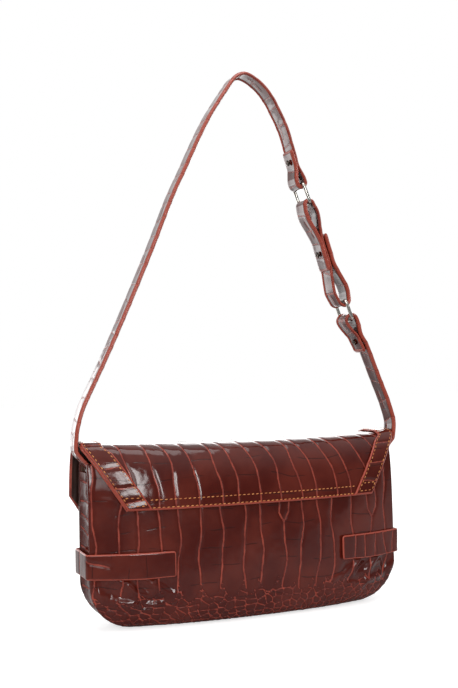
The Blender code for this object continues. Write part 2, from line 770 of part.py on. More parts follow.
def make_buckle():
    """The buckle's wire frame, and the prong whose eye turns on the pin bar."""
    middle = BELT_LOW + BELT_WIDTH / 2
    y = -body_depth(BUCKLE_PIN_X, middle) - bar_height()
    centre = ((BUCKLE_PIN_X + BUCKLE_BAR_X) / 2, y, middle)
    half_long = (BUCKLE_PIN_X - BUCKLE_BAR_X) / 2
    half_tall = BELT_WIDTH / 2 + BUCKLE_SIDE_CLEARANCE + BUCKLE_WIRE
    make_wire_frame("buckle_frame", centre, (1, 0, 0), (0, 0, 1), (half_long, half_tall),
                    BUCKLE_CORNER, BUCKLE_WIRE)
    eye_radius = BUCKLE_WIRE + PRONG_EYE_CLEARANCE + PRONG_RADIUS
    make_prong((BUCKLE_PIN_X, y, middle), eye_radius, BUCKLE_PIN_X - BUCKLE_BAR_X)


def make_prong(pin, eye_radius, reach):
    """A wire that almost closes round the pin bar, then runs out over the frame's outer bar."""
    x, y, z = pin
    path = []
    for turn in spread(190.0, 450.0, 14):
        angle = math.radians(turn)
        path.append((x + eye_radius * math.cos(angle), eye_radius * math.sin(angle)))
    rest = BUCKLE_WIRE + FIT_GAP + PRONG_RADIUS
    for share in (0.15, 0.55, 1.0, 1.0 + PRONG_OVERHANG):
        path.append((x - reach * share, eye_radius + (rest - eye_radius) * min(share, 1.0)))
    points = [(px, y - high, z) for px, high in path]
    normals = []
    for i in range(len(points)):
        a = points[max(i - 1, 0)]
        b = points[min(i + 1, len(points) - 1)]
        run = (b[0] - a[0], b[1] - a[1])
        length = math.hypot(*run)
        normals.append(((-run[1] / length, run[0] / length, 0.0), (0.0, 0.0, 1.0)))
    add_sweep("buckle_prong", wire_rings(points, normals, PRONG_RADIUS, 8), metal("buckle_prong"))


def make_keeper():
    """The leather keeper, a flat loop round both layers of the belt."""
    middle = BELT_LOW + BELT_WIDTH / 2
    slope = plan_normal(KEEPER_X, middle)
    base = -body_depth(KEEPER_X, middle)
    low = FIT_GAP
    high = front_rest() + 2 * BELT_THICKNESS + FIT_GAP + KEEPER_CLEARANCE + KEEPER_THICKNESS
    half_tall = BELT_WIDTH / 2 + KEEPER_CLEARANCE + KEEPER_THICKNESS
    along = (slope[1], slope[0], 0.0)
    out = (slope[0], -slope[1], 0.0)
    rings = []
    centre_out = (low + high) / 2
    half_out = (high - low) / 2
    for a, b, out_a, out_b in rounded_frame(half_out, half_tall, KEEPER_CORNER, 3):
        ring = []
        for inward, shift in ((0, -1), (0, 1), (1, 1), (1, -1)):
            da = a - out_a * inward * KEEPER_THICKNESS
            db = b - out_b * inward * KEEPER_THICKNESS
            ring.append((KEEPER_X + out[0] * (centre_out + da) + along[0] * shift * KEEPER_WIDTH / 2,
                         base + out[1] * (centre_out + da) + along[1] * shift * KEEPER_WIDTH / 2,
                         middle + db))
        rings.append(ring)
    add_sweep("belt_keeper", rings, leather("belt_keeper"), closed=True)


# Shoulder strap: two stitched-in roots, a long and a short strap, two rings and a link

def smooth_route(points, step):
    """A Catmull-Rom curve through a flat list of points, cut into short steps."""
    padded = [points[0]] + list(points) + [points[-1]]
    route = []
    for p0, p1, p2, p3 in zip(padded, padded[1:], padded[2:], padded[3:]):
        before = math.atan2(p2[1] - p0[1], p2[0] - p0[0])
        after = math.atan2(p3[1] - p1[1], p3[0] - p1[0])
        bend = abs(math.remainder(after - before, 2 * math.pi))
        count = max(int(math.dist(p1, p2) / step + 0.5), int(bend / STRAP_BEND_STEP), 1)
        for i in range(count):
            t = i / count
            route.append(tuple(
                0.5 * (2 * b + (c - a) * t + (2 * a - 5 * b + 4 * c - d) * t * t
                       + (3 * b - a - 3 * c + d) * t ** 3)
                for a, b, c, d in zip(p0, p1, p2, p3)))
    route.append(tuple(points[-1]))
    return route


def make_strip(name, route, thickness, width_at):
    """A flat strap swept along a route in the XZ plane, its width along Y."""
    rings = []
    for i, (x, z) in enumerate(route):
        a = route[max(i - 1, 0)]
        b = route[min(i + 1, len(route) - 1)]
        run = (b[0] - a[0], b[1] - a[1])
        length = math.hypot(*run)
        out = (run[1] / length * thickness / 2, -run[0] / length * thickness / 2)
        half = width_at(z) / 2
        rings.append([(x + s * out[0], y * half, z + s * out[1])
                      for s, y in ((1, 1), (1, -1), (-1, -1), (-1, 1))])
    return add_sweep(name, rings, leather(name))


def strap_width(z):
    share = (z - GUSSET_TOP) / STRAP_TAPER_LENGTH
    return STRAP_ROOT_WIDTH + (STRAP_WIDTH - STRAP_ROOT_WIDTH) * smooth_step(share)


def arch_point(reach_share, rise_share):
    return (STRAP_REACH * reach_share, STRAP_PIVOT_Z + (STRAP_PEAK - STRAP_PIVOT_Z) * rise_share)


def arch_leg(shape):
    """One leg of the strap's arch, from the middle of its peak down to the pivot."""
    return [arch_point(*share) for share in shape] + [(STRAP_PIVOT_X, STRAP_PIVOT_Z)]


def arch_at(height):
    """How far the ringed leg stands from the middle at a height, read from its smooth route."""
    route = smooth_route(arch_leg(ARCH_RIGHT), STRAP_LOOP_STEP)
    for a, b in zip(route, route[1:]):
        if a[1] >= height >= b[1]:
            part = (a[1] - height) / (a[1] - b[1])
            return a[0] + (b[0] - a[0]) * part
    return STRAP_PIVOT_X


class Line:
    """A direction down the strap in the XZ plane, with the direction out of its outer face."""

    def __init__(self, down):
        self.down = down
        self.out = (down[1], -down[0])

    def from_line(self, base, along, out=0.0):
        return (base[0] + self.down[0] * along + self.out[0] * out,
                base[1] + self.down[1] * along + self.out[1] * out)

    def leaning(self, degrees):
        """The same line turned outwards, for a folded end that leans away from the chain."""
        c = math.cos(math.radians(degrees))
        s = math.sin(math.radians(degrees))
        return Line((self.down[0] * c + self.out[0] * s, self.down[1] * c + self.out[1] * s))


class Chain(Line):
    """The straight line that the rings' four bars share, and the lean of both folded ends."""

    def __init__(self):
        upper = (-arch_at(UPPER_RING_Z), UPPER_RING_Z)
        lower = (-arch_at(LOWER_RING_Z), LOWER_RING_Z)
        length = math.dist(upper, lower)
        super().__init__(((lower[0] - upper[0]) / length, (lower[1] - upper[1]) / length))
        self.upper = (upper[0] - self.out[0] * FOLD_LAYER, upper[1] - self.out[1] * FOLD_LAYER)
        self.lower = (lower[0] - self.out[0] * FOLD_LAYER, lower[1] - self.out[1] * FOLD_LAYER)
        half = (RING_INNER_LENGTH + 2 * RING_WIRE) / 2
        self.bars = [self.from_line(self.upper, -half), self.from_line(self.upper, half),
                     self.from_line(self.lower, -half), self.from_line(self.lower, half)]
        self.long_end = self.leaning(LONG_END_LEAN)
        self.short_end = self.leaning(SHORT_END_LEAN)


def loop_route(line, bar, towards, free_gap):
    """A strap's turn round a bar: down its outer side, round the bar and up its inner side.

    towards is -1 where the strap comes from above the bar and +1 where it comes from below.
    """
    radius = LOOP_INNER_RADIUS + STRAP_THICKNESS / 2
    seat = towards * (LOOP_INNER_RADIUS - RING_WIRE - free_gap)
    points = [(towards * FOLD_BACK_LENGTH, FOLD_LAYER), (towards * RIVET_SETBACK, FOLD_LAYER),
              (towards * LOOP_LENGTH, FOLD_LAYER), (towards * LOOP_LENGTH * 0.4, radius * 0.86)]
    for i in range(9):
        turn = math.radians(180 * i / 8)
        points.append((seat - towards * radius * math.sin(turn), radius * math.cos(turn)))
    points += [(along, -out) for along, out in reversed(points[:4])]
    return [line.from_line(bar, along, out) for along, out in points]


def make_straps(chain):
    right_leg = arch_leg(ARCH_RIGHT)
    long_start = list(reversed(arch_leg(ARCH_LEFT)))
    above = chain.bars[0][1] + FOLD_BACK_LENGTH * STRAP_CLEAR_SHARE
    long_end = [(-x, z) for x, z in right_leg[1:] if z > above]
    loop = loop_route(chain.long_end, chain.bars[0], -1, LOOP_SEAT_GAP)
    route = smooth_route(long_start + long_end, STRAP_STEP)
    route = route[:-1] + smooth_route([route[-1]] + loop, STRAP_LOOP_STEP)
    long_strap = make_strip("strap_long", route, STRAP_THICKNESS, strap_width)
    below = chain.bars[3][1] - FOLD_BACK_LENGTH * STRAP_CLEAR_SHARE
    short_start = [(-x, z) for x, z in reversed(right_leg) if z < below]
    loop = loop_route(chain.short_end, chain.bars[3], 1, LOOP_FREE_GAP)
    route = smooth_route(short_start, STRAP_STEP)
    route = route[:-1] + smooth_route([route[-1]] + loop, STRAP_LOOP_STEP)
    short_strap = make_strip("strap_short", route, STRAP_THICKNESS, strap_width)
    for side, label in ((1, "left"), (-1, "right")):
        points = [(side * x, z) for x, z in root_points()]
        make_strip("strap_root_" + label, smooth_route(points, STRAP_ROOT_STEP), STRAP_ROOT_THICKNESS,
                   strap_width)
    return long_strap, short_strap


def root_points():
    """The stitched-in end: straight inside the gusset, then leaning out past the flap's end."""
    x = BODY_HALF_WIDTH - GUSSET_INSET - GUSSET_THICKNESS - FIT_GAP - STRAP_ROOT_THICKNESS / 2
    rise = STRAP_PIVOT_Z - GUSSET_TOP
    lean = STRAP_PIVOT_X - x
    turns = ((0.12, 0.24), (0.58, 0.58), (0.92, 0.84))
    bend = [(x + lean * across, GUSSET_TOP + rise * up) for across, up in turns]
    end = (x + lean, STRAP_PIVOT_Z - FOLD_GAP * 1.6)
    return [(x, STRAP_ROOT_LOW), (x, GUSSET_TOP - 0.001)] + bend + [end]


def make_link(chain):
    """The link strip: an S whose two loops hold the rings, three layers deep at its middle."""
    layer = STRAP_THICKNESS + LAYER_GAP
    half = math.dist(chain.bars[1], chain.bars[2]) / 2
    tilt = math.asin(layer / 2 / half)
    radius = LOOP_INNER_RADIUS + STRAP_THICKNESS / 2
    seat = half - (LOOP_INNER_RADIUS - RING_WIRE - LOOP_SEAT_GAP)
    upper = [(-LINK_LAP, -layer * 1.15), (0.0, -layer), (LINK_LAP * 0.9, -layer * 0.95)]
    swell = radius * LINK_SWELL
    upper.append((seat - radius * LINK_SWELL_PLACE, -layer / 2 - swell))
    for i in range(9):
        turn = math.radians(180 * i / 8)
        upper.append((seat + radius * math.sin(turn), -layer / 2 - radius * math.cos(turn)))
    upper += [(seat - radius * LINK_SWELL_PLACE, -layer / 2 + swell), (LINK_LAP * 0.9, layer * 0.12)]
    upper.append((0.0, 0.0))
    points = upper + [(-along, -out) for along, out in reversed(upper[:-1])]
    centre = ((chain.bars[1][0] + chain.bars[2][0]) / 2, (chain.bars[1][1] + chain.bars[2][1]) / 2)
    c = math.cos(tilt)
    s = math.sin(tilt)
    route = []
    for along, out in points:
        turned = (along * c - out * s, along * s + out * c)
        route.append(chain.from_line(centre, -turned[0], turned[1]))
    return make_strip("strap_link", smooth_route(route, STRAP_LOOP_STEP), STRAP_THICKNESS,
                      lambda z: STRAP_WIDTH)


def make_rings(chain):
    across = (0.0, 1.0, 0.0)
    down = (chain.down[0], 0.0, chain.down[1])
    halves = (STRAP_WIDTH / 2 + RING_SIDE_CLEARANCE + RING_WIRE, RING_INNER_LENGTH / 2 + RING_WIRE)
    for name, middle in (("ring_upper", chain.upper), ("ring_lower", chain.lower)):
        make_wire_frame(name, (middle[0], 0.0, middle[1]), across, down, halves, RING_CORNER,
                        RING_WIRE)


def add_turned(name, profile, place, direction, material, sides=16):
    """A turned piece: a profile of (radius, height) pairs round an axis in the XZ plane."""
    side = (direction[1], -direction[0])
    rings = []
    for radius, high in profile:
        ring = []
        for j in range(sides):
            turn = 2 * math.pi * j / sides
            a = radius * math.cos(turn)
            b = radius * math.sin(turn)
            ring.append((place[0] + direction[0] * high + side[0] * a, b,
                         place[1] + direction[1] * high + side[1] * a))
        rings.append(ring)
    return add_sweep(name, rings, material)


def rivet_profile(low, high):
    """Post and domed head of a rivet, from the post's end at low to the head's seat at high."""
    r = RIVET_HEAD_RADIUS
    h = RIVET_HEAD_HEIGHT
    return [(RIVET_POST_RADIUS, low), (RIVET_POST_RADIUS, high), (r, high), (r, high + h * 0.35),
            (r * 0.82, high + h * 0.8), (r * 0.4, high + h)]


def make_rivets(chain, pieces):
    """A rivet through each folded end and through the link, with its cap on the inner side."""
    layer = STRAP_THICKNESS + LAYER_GAP
    centre = ((chain.bars[1][0] + chain.bars[2][0]) / 2, (chain.bars[1][1] + chain.bars[2][1]) / 2)
    tilt = math.degrees(math.asin(layer / math.dist(chain.bars[1], chain.bars[2])))
    upper = chain.long_end.from_line(chain.bars[0], -RIVET_SETBACK)
    lower = chain.short_end.from_line(chain.bars[3], RIVET_SETBACK)
    seats = (("upper", upper, chain.long_end.out, pieces[0], layer),
             ("middle", centre, chain.leaning(-tilt).out, pieces[1], layer * 1.5),
             ("lower", lower, chain.short_end.out, pieces[2], layer))
    for label, place, out, piece, reach in seats:
        face = reach + RIVET_GAP
        add_turned("rivet_" + label, rivet_profile(-face, face), place, out,
                   metal("rivet_" + label))
        cap = [(RIVET_CAP_RADIUS, -face - RIVET_CAP_HEIGHT * 0.6 - RIVET_GAP),
               (RIVET_CAP_RADIUS, -face - RIVET_GAP)]
        cap.insert(0, (RIVET_CAP_RADIUS * 0.8, -face - RIVET_CAP_HEIGHT - RIVET_GAP))
        add_turned("rivet_cap_" + label, cap, place, out, metal("rivet_cap_" + label))
        hole = RIVET_POST_RADIUS + RIVET_GAP
        cutter = add_turned(label + "_hole", [(hole, -2 * face), (hole, 2 * face)], place, out,
                            metal(label + "_hole"))
        file_cutter(cutter, piece)


def make_shoulder_strap():
    chain = Chain()
    long_strap, short_strap = make_straps(chain)
    link = make_link(chain)
    make_rings(chain)
    make_rivets(chain, (long_strap, link, short_strap))
    return chain


# Axes of the joints

def hang(label, place, names):
    """Parent pieces to an empty on their joint's axis, without moving them."""
    axis = bpy.data.objects.new(label, None)
    axis.empty_display_size = STRAP_WIDTH
    axis.location = place
    PARTS.objects.link(axis)
    for name in names:
        piece = bpy.data.objects[name]
        piece.parent = axis
        piece.matrix_parent_inverse = Matrix.Translation(place).inverted()


def hang_moving_pieces(chain):
    hang("flap_fold_axis", FLAP_AXIS,
         ("flap_front", "front_trim_left", "front_trim_right", "snap_stud"))
    hang("strap_swing_axis", STRAP_AXIS,
         ("strap_long", "strap_short", "rivet_upper", "rivet_cap_upper", "rivet_lower",
          "rivet_cap_lower"))
    bars = [(bar[0], 0.0, bar[1]) for bar in chain.bars]
    hang("ring_upper_axis", bars[0], ("ring_upper",))
    hang("strap_link_axis", bars[1], ("strap_link", "rivet_middle", "rivet_cap_middle"))
    hang("ring_lower_axis", bars[2], ("ring_lower",))


make_panel("back_panel", 1)
make_panel("front_panel", -1)
make_gusset()
make_lining()
make_flap("flap_back", False)
make_flap("flap_front", True)
for side, label in ((1, "left"), (-1, "right")):
    make_trim("back_trim_" + label, False, side)
    make_trim("front_trim_" + label, True, side)
make_snap()
make_belt_tip()
make_belt_buckle_side()
make_buckle()
make_keeper()
hang_moving_pieces(make_shoulder_strap())
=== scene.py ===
# %% [markdown]
# # A shoulder bag in crocodile-embossed leather
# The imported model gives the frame: every solid at its true place and size, in metres. This
# script dresses it. Each leather part becomes a sheet that is cut, bent and embossed in code,
# each edge is painted, each seam is sewn stitch by stitch, and the metal gets a nickel finish.

# %% Load the frame
import math
import random

import bmesh
import bpy
import numpy as np
from mathutils import Matrix, Vector


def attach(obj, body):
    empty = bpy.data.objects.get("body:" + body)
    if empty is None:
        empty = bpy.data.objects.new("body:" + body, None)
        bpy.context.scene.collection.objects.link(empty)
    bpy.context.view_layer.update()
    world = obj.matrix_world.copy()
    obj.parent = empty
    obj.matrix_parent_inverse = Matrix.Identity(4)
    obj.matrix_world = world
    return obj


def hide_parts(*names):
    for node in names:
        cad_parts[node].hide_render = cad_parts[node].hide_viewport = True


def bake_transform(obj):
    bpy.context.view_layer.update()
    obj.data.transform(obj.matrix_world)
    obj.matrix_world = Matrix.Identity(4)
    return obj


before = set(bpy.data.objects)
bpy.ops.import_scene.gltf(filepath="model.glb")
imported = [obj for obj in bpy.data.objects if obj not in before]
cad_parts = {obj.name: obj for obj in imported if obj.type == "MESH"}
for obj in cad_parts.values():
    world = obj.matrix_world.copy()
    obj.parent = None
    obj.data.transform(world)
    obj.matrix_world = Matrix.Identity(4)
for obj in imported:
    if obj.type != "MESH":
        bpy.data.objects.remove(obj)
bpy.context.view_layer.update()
random.seed(7)
print("solids in the frame:", len(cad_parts))

# %% [markdown]
# ## The camera
# The photograph was taken from behind the bag, round to its left and a little above its flap.
# Solving the bag's outline gives the camera's place and a lens that shows a little perspective.

# %% Camera
CAMERA_PLACE = Vector((0.2888, 0.6997, 0.1762))
CAMERA_YAW = math.radians(21.87)
CAMERA_PITCH = math.radians(1.84)
CAMERA_ROLL = math.radians(-1.23)
FOCAL_PIXELS = 1000
IMAGE_HEIGHT = 688


def add_object(name, data):
    """A new object that shows a mesh, a curve, a lamp or a camera."""
    thing = bpy.data.objects.new(name, data)
    bpy.context.scene.collection.objects.link(thing)
    return thing


def mesh_object(name, bm, *materials):
    """A new object from a bmesh, which is freed."""
    mesh = bpy.data.meshes.new(name)
    bm.to_mesh(mesh)
    bm.free()
    for material in materials:
        mesh.materials.append(material)
    return add_object(name, mesh)


camera_data = bpy.data.cameras.new("camera")
camera_data.sensor_fit = "VERTICAL"
camera_data.sensor_height = 36.0
camera_data.lens = FOCAL_PIXELS * camera_data.sensor_height / IMAGE_HEIGHT
camera = add_object("camera", camera_data)
ahead = Vector((-math.sin(CAMERA_YAW) * math.cos(CAMERA_PITCH),
                -math.cos(CAMERA_YAW) * math.cos(CAMERA_PITCH), math.sin(CAMERA_PITCH)))
level = ahead.cross(Vector((0.0, 0.0, 1.0))).normalized()
right = level * math.cos(CAMERA_ROLL) + level.cross(ahead) * math.sin(CAMERA_ROLL)
turn = Matrix((right, right.cross(ahead), -ahead)).transposed()
camera.matrix_world = Matrix.Translation(CAMERA_PLACE) @ turn.to_4x4()
bpy.context.scene.camera = camera
bpy.context.scene.view_settings.view_transform = "Standard"
print("lens:", round(camera_data.lens, 1), "mm")

# %% [markdown]
# ## A helper for shader nodes
# Every material here is built from nodes, and so is the world. Adding and joining nodes by
# hand fills many lines, so this small class gives each common step a short name.

# %% Shader node helper
class Graph:
    """A short way to add and join nodes in one tree."""

    def __init__(self, tree):
        self.tree = tree

    def add(self, kind, **settings):
        node = self.tree.nodes.new(kind)
        for key, value in settings.items():
            setattr(node, key, value)
        return node

    def join(self, source, target):
        self.tree.links.new(source, target)

    def math(self, operation, a, b=0.0, c=None):
        node = self.add("ShaderNodeMath", operation=operation)
        for place, value in enumerate((a, b) if c is None else (a, b, c)):
            if isinstance(value, (int, float)):
                node.inputs[place].default_value = value
            else:
                self.join(value, node.inputs[place])
        return node.outputs[0]

    def ramp(self, value, low, high, to_low=0.0, to_high=1.0):
        """A smooth step from to_low to to_high while value goes from low to high."""
        node = self.add("ShaderNodeMapRange", interpolation_type="SMOOTHSTEP")
        self.join(value, node.inputs[0])
        for place, number in enumerate((low, high, to_low, to_high)):
            socket = node.inputs[place + 1]
            if isinstance(number, (int, float)):
                socket.default_value = number
            else:
                self.join(number, socket)
        return node.outputs[0]

    def mix(self, factor, a, b):
        node = self.add("ShaderNodeMix", data_type="RGBA")
        self.join(factor, node.inputs[0])
        for socket, value in ((node.inputs[6], a), (node.inputs[7], b)):
            if isinstance(value, tuple):
                socket.default_value = value
            else:
                self.join(value, socket)
        return node.outputs[2]

    def noise(self, vector, scale, detail=2.0, stretch=(1.0, 1.0, 1.0)):
        mapping = self.add("ShaderNodeMapping")
        mapping.inputs["Scale"].default_value = stretch
        self.join(vector, mapping.inputs["Vector"])
        node = self.add("ShaderNodeTexNoise")
        node.inputs["Scale"].default_value = scale
        node.inputs["Detail"].default_value = detail
        self.join(mapping.outputs[0], node.inputs["Vector"])
        return node.outputs[0]

    def bump(self, height, distance, shader):
        """Raise the surface by height times distance, in metres."""
        node = self.add("ShaderNodeBump")
        node.inputs["Distance"].default_value = distance
        node.inputs["Strength"].default_value = 1.0
        self.join(height, node.inputs["Height"])
        self.join(node.outputs[0], shader.inputs["Normal"])


print("node helper ready")

# %% [markdown]
# ## The studio
# Glossy leather shows its surroundings, so the lights are part of the material: broad pale
# panels give long soft glints, and the floor and the backdrop render white without adding
# light, because only the camera and the mirror-like rays see their glow. One half isn't that
# plain. Towards the side the photograph was taken from, the floor is dark grey to light, and
# except on the far side reflections find no glow on the floor and a dim backdrop, as if dark
# cards stood there. That keeps the leather deep. The camera sees white there too. It is all
# fixed in the studio and doesn't follow the camera.

# %% Floor, world and lamps
PHOTO_SIDE = (0.38, 0.92, 0.0)


def pale_glow(material, strength, mirrored):
    """A white surface that looks white to the camera and in reflections, and keeps shadows."""
    shader = material.node_tree.nodes["Principled BSDF"]
    shader.inputs["Roughness"].default_value = 0.9
    graph = Graph(material.node_tree)
    path = graph.add("ShaderNodeLightPath")
    behind = graph.add("ShaderNodeVectorMath", operation="DOT_PRODUCT")
    graph.join(graph.add("ShaderNodeTexCoord").outputs["Object"], behind.inputs[0])
    behind.inputs[1].default_value = PHOTO_SIDE
    far = graph.ramp(behind.outputs["Value"], -0.65, -0.35, mirrored, 0.0)
    ahead = graph.ramp(behind.outputs["Value"], 0.14, 0.32)
    graph.join(graph.mix(ahead, (0.62, 0.62, 0.62, 1.0), (0.20, 0.20, 0.20, 1.0)),
               shader.inputs["Base Color"])
    lift = graph.math("MULTIPLY_ADD", ahead, 0.28, strength)
    seen = graph.math("MULTIPLY", path.outputs["Is Camera Ray"], lift)
    glow = graph.math("MULTIPLY_ADD", path.outputs["Is Glossy Ray"], far, seen)
    shader.inputs["Emission Color"].default_value = (1.0, 1.0, 1.0, 1.0)
    graph.join(glow, shader.inputs["Emission Strength"])


floor_material = bpy.data.materials.new("studio_floor")
floor_material.use_nodes = True
pale_glow(floor_material, 0.66, 1.3)
bm = bmesh.new()
bmesh.ops.create_grid(bm, x_segments=1, y_segments=1, size=6.0)
floor = mesh_object("studio_floor", bm, floor_material)
floor.location = (0.0, 0.0, -0.0006)

world = bpy.data.worlds.new("studio")
world.use_nodes = True
bpy.context.scene.world = world
g = Graph(world.node_tree)
path = g.add("ShaderNodeLightPath")
look = g.add("ShaderNodeTexCoord").outputs["Generated"]
split = g.add("ShaderNodeSeparateXYZ")
g.join(look, split.inputs[0])
facing = g.add("ShaderNodeVectorMath", operation="DOT_PRODUCT")
g.join(look, facing.inputs[0])
facing.inputs[1].default_value = PHOTO_SIDE
overhead = g.ramp(split.outputs["Z"], 0.10, 0.80, 0.20, 1.0)
backdrop = g.ramp(facing.outputs["Value"], -0.70, -0.30, 1.0, 0.20)
mirrored = g.math("MAXIMUM", overhead, backdrop)
level = g.math("MULTIPLY", path.outputs["Is Glossy Ray"], g.math("SUBTRACT", mirrored, 0.50))
level = g.math("ADD", level, 0.50)
seen = g.math("MAXIMUM", path.outputs["Is Camera Ray"], path.outputs["Is Transmission Ray"])
g.join(g.math("MAXIMUM", level, seen), world.node_tree.nodes["Background"].inputs["Color"])
world.node_tree.nodes["Background"].inputs["Strength"].default_value = 1.0


def add_lamp(name, place, target, size, power):
    """A rectangular lamp that looks at a target."""
    data = bpy.data.lights.new(name, "AREA")
    data.shape = "RECTANGLE"
    data.size = size[0]
    data.size_y = size[1]
    data.energy = power
    lamp = add_object(name, data)
    lamp.location = place
    lamp.rotation_mode = "QUATERNION"
    lamp.rotation_quaternion = (Vector(target) - Vector(place)).to_track_quat("-Z", "Y")


add_lamp("top_panel", (0.10, 0.25, 1.50), (0.0, 0.0, 0.10), (1.1, 0.7), 8.0)
add_lamp("left_panel", (1.35, 0.70, 0.75), (0.0, 0.0, 0.10), (0.35, 0.9), 5.0)
add_lamp("window_panel", (0.62, 1.47, 0.52), (0.0, 0.0, 0.10), (0.30, 0.70), 2.5)
add_lamp("glint_panel", (0.24, 1.58, 0.42), (0.0, 0.0, 0.10), (0.24, 0.55), 6.5)
add_lamp("front_panel_lamp", (-0.9, -1.3, 0.9), (0.0, 0.0, 0.12), (0.8, 0.8), 4.0)
add_lamp("rim_panel", (0.61, -1.47, 0.30), (0.0, 0.0, 0.14), (0.7, 0.5), 2.2)
add_lamp("roof_panel", (-0.62, -1.50, 0.46), (0.0, 0.0, 0.12), (1.0, 0.35), 4.0)
print("lamps and floor are in place")

# %% [markdown]
# ## The shape that everything follows
# The body is a pillow: wide and flat in plan, thinner at both ends, rounded at its lower
# corners and closed over the top like a loaf. These few functions give any point on it, so
# that each sheet of leather can be laid exactly on the solid below it.

# %% Shape of the pillow
BODY_HALF_WIDTH = 0.122
CORNER_RADIUS = 0.033
PANEL_TOP = 0.117
GUSSET_TOP = 0.110
DEPTH_MIDDLE = 0.031
DEPTH_END = 0.0150
PLAN_POWER = 2.6
WAIST_HEIGHT = 0.040
ROOF_HEIGHT = 0.127
ROOF_SAG = 0.002
ROOF_POWER = 4.0
BASE_SHARE = 0.62
PANEL_THICKNESS = 0.0022
GUSSET_THICKNESS = 0.0020
GUSSET_INSET = 0.0005
FIT_GAP = 0.0004
SKIN_SINK = 0.0002
GRID_STEP = 0.00098
FLAP_HALF_WIDTH = 0.1255
FLAP_THICKNESS = 0.0030
FLAP_BACK_LOW = 0.083
FLAP_BACK_LOW_HALF_WIDTH = 0.0975
FLAP_FRONT_LOW = 0.064
FLAP_FRONT_CORNER = 0.090
FLAP_FRONT_DEPTH_END = 0.028
FLAP_FRONT_DEPTH_MIDDLE = 0.034
FLAP_DIAGONAL_SLOPE = 1.54


def spread(start, end, count):
    return [start + (end - start) * i / (count - 1) for i in range(count)]


def lengths_along(points):
    """How far along the line through the points each of them lies."""
    arc = [0.0]
    for a, b in zip(points, points[1:]):
        arc.append(arc[-1] + math.dist(a, b))
    return arc


def smooth_step(t):
    t = min(max(t, 0.0), 1.0)
    return t * t * (3 - 2 * t)


def half_width(z):
    if z >= CORNER_RADIUS:
        return BODY_HALF_WIDTH
    drop = CORNER_RADIUS - max(z, 0.0)
    return BODY_HALF_WIDTH - CORNER_RADIUS + math.sqrt(CORNER_RADIUS ** 2 - drop ** 2)


def plan_depth(x, end, middle, reach=BODY_HALF_WIDTH):
    share = min(abs(x) / reach, 1.0) ** PLAN_POWER
    return end + (middle - end) * (1 - share)


def roof_height(x):
    return ROOF_HEIGHT - ROOF_SAG * (1 - (x / FLAP_HALF_WIDTH) ** 2)


def body_depth(x, z):
    """How far the body's face stands from the middle plane."""
    depth = plan_depth(x, DEPTH_END, DEPTH_MIDDLE, half_width(z))
    if z >= WAIST_HEIGHT:
        rise = min((z - WAIST_HEIGHT) / (roof_height(x) - WAIST_HEIGHT), 1.0)
        share = (1 - rise ** ROOF_POWER) ** (1 / ROOF_POWER)
    else:
        drop = (WAIST_HEIGHT - z) / WAIST_HEIGHT
        share = BASE_SHARE + (1 - BASE_SHARE) * math.sqrt(max(1 - drop ** 2, 0.0))
    return depth * share


def flap_point(x, angle, offset):
    """A point of the flap's section: angle 0 is the back waist, 90 the top, 180 the front."""
    end = DEPTH_END if angle <= 90 else FLAP_FRONT_DEPTH_END
    middle = DEPTH_MIDDLE if angle <= 90 else FLAP_FRONT_DEPTH_MIDDLE
    depth = plan_depth(x, end, middle, FLAP_HALF_WIDTH) + offset
    rise = roof_height(x) + offset - WAIST_HEIGHT
    turn = math.radians(angle)
    across = abs(math.cos(turn)) ** (2 / ROOF_POWER)
    up = abs(math.sin(turn)) ** (2 / ROOF_POWER)
    side = 1 if angle <= 90 else -1
    return Vector((x, side * depth * across, WAIST_HEIGHT + rise * up))


def angle_at(x, z, offset, front):
    """The section angle at which the flap's face lies at height z."""
    low, high = (90.0, 180.0) if front else (0.0, 90.0)
    for _ in range(40):
        middle = (low + high) / 2
        if (flap_point(x, middle, offset)[2] > z) == front:
            low = middle
        else:
            high = middle
    return (low + high) / 2


print("depth of the body at its middle:", round(2 * body_depth(0.0, 0.05) * 1000, 1), "mm")

# %% [markdown]
# ## Crocodile leather
# Embossed calf has deep creases round smooth, glossy scales. The colour lies thin in the
# creases, so they show rust, and deep on the scales, so they look almost black. Beside each
# crease the scales are darkened further, a painted shade where they roll down into it. Each
# sheet stores how far each point lies from its nearest crease and from its cut edge. The node
# group turns those two distances, and a few noises, into colour, painted crease shade, gloss
# and height.

# %% The leather's node group
DEEP = (0.062, 0.0050, 0.0024, 1.0)
WARM = (0.108, 0.0150, 0.0085, 1.0)
CREASE = (0.330, 0.052, 0.030, 1.0)
PAINT = (0.350, 0.060, 0.036, 1.0)


def new_group(name, inputs, outputs):
    """An empty node group with named sockets."""
    group = bpy.data.node_groups.new(name, "ShaderNodeTree")
    for label, kind, value in inputs:
        socket = group.interface.new_socket(label, in_out="INPUT", socket_type=kind)
        if value is not None:
            socket.default_value = value
    for label, kind in outputs:
        group.interface.new_socket(label, in_out="OUTPUT", socket_type=kind)
    return group, group.nodes.new("NodeGroupInput"), group.nodes.new("NodeGroupOutput")


FLOAT = "NodeSocketFloat"
COLOUR = "NodeSocketColor"
VECTOR = "NodeSocketVector"

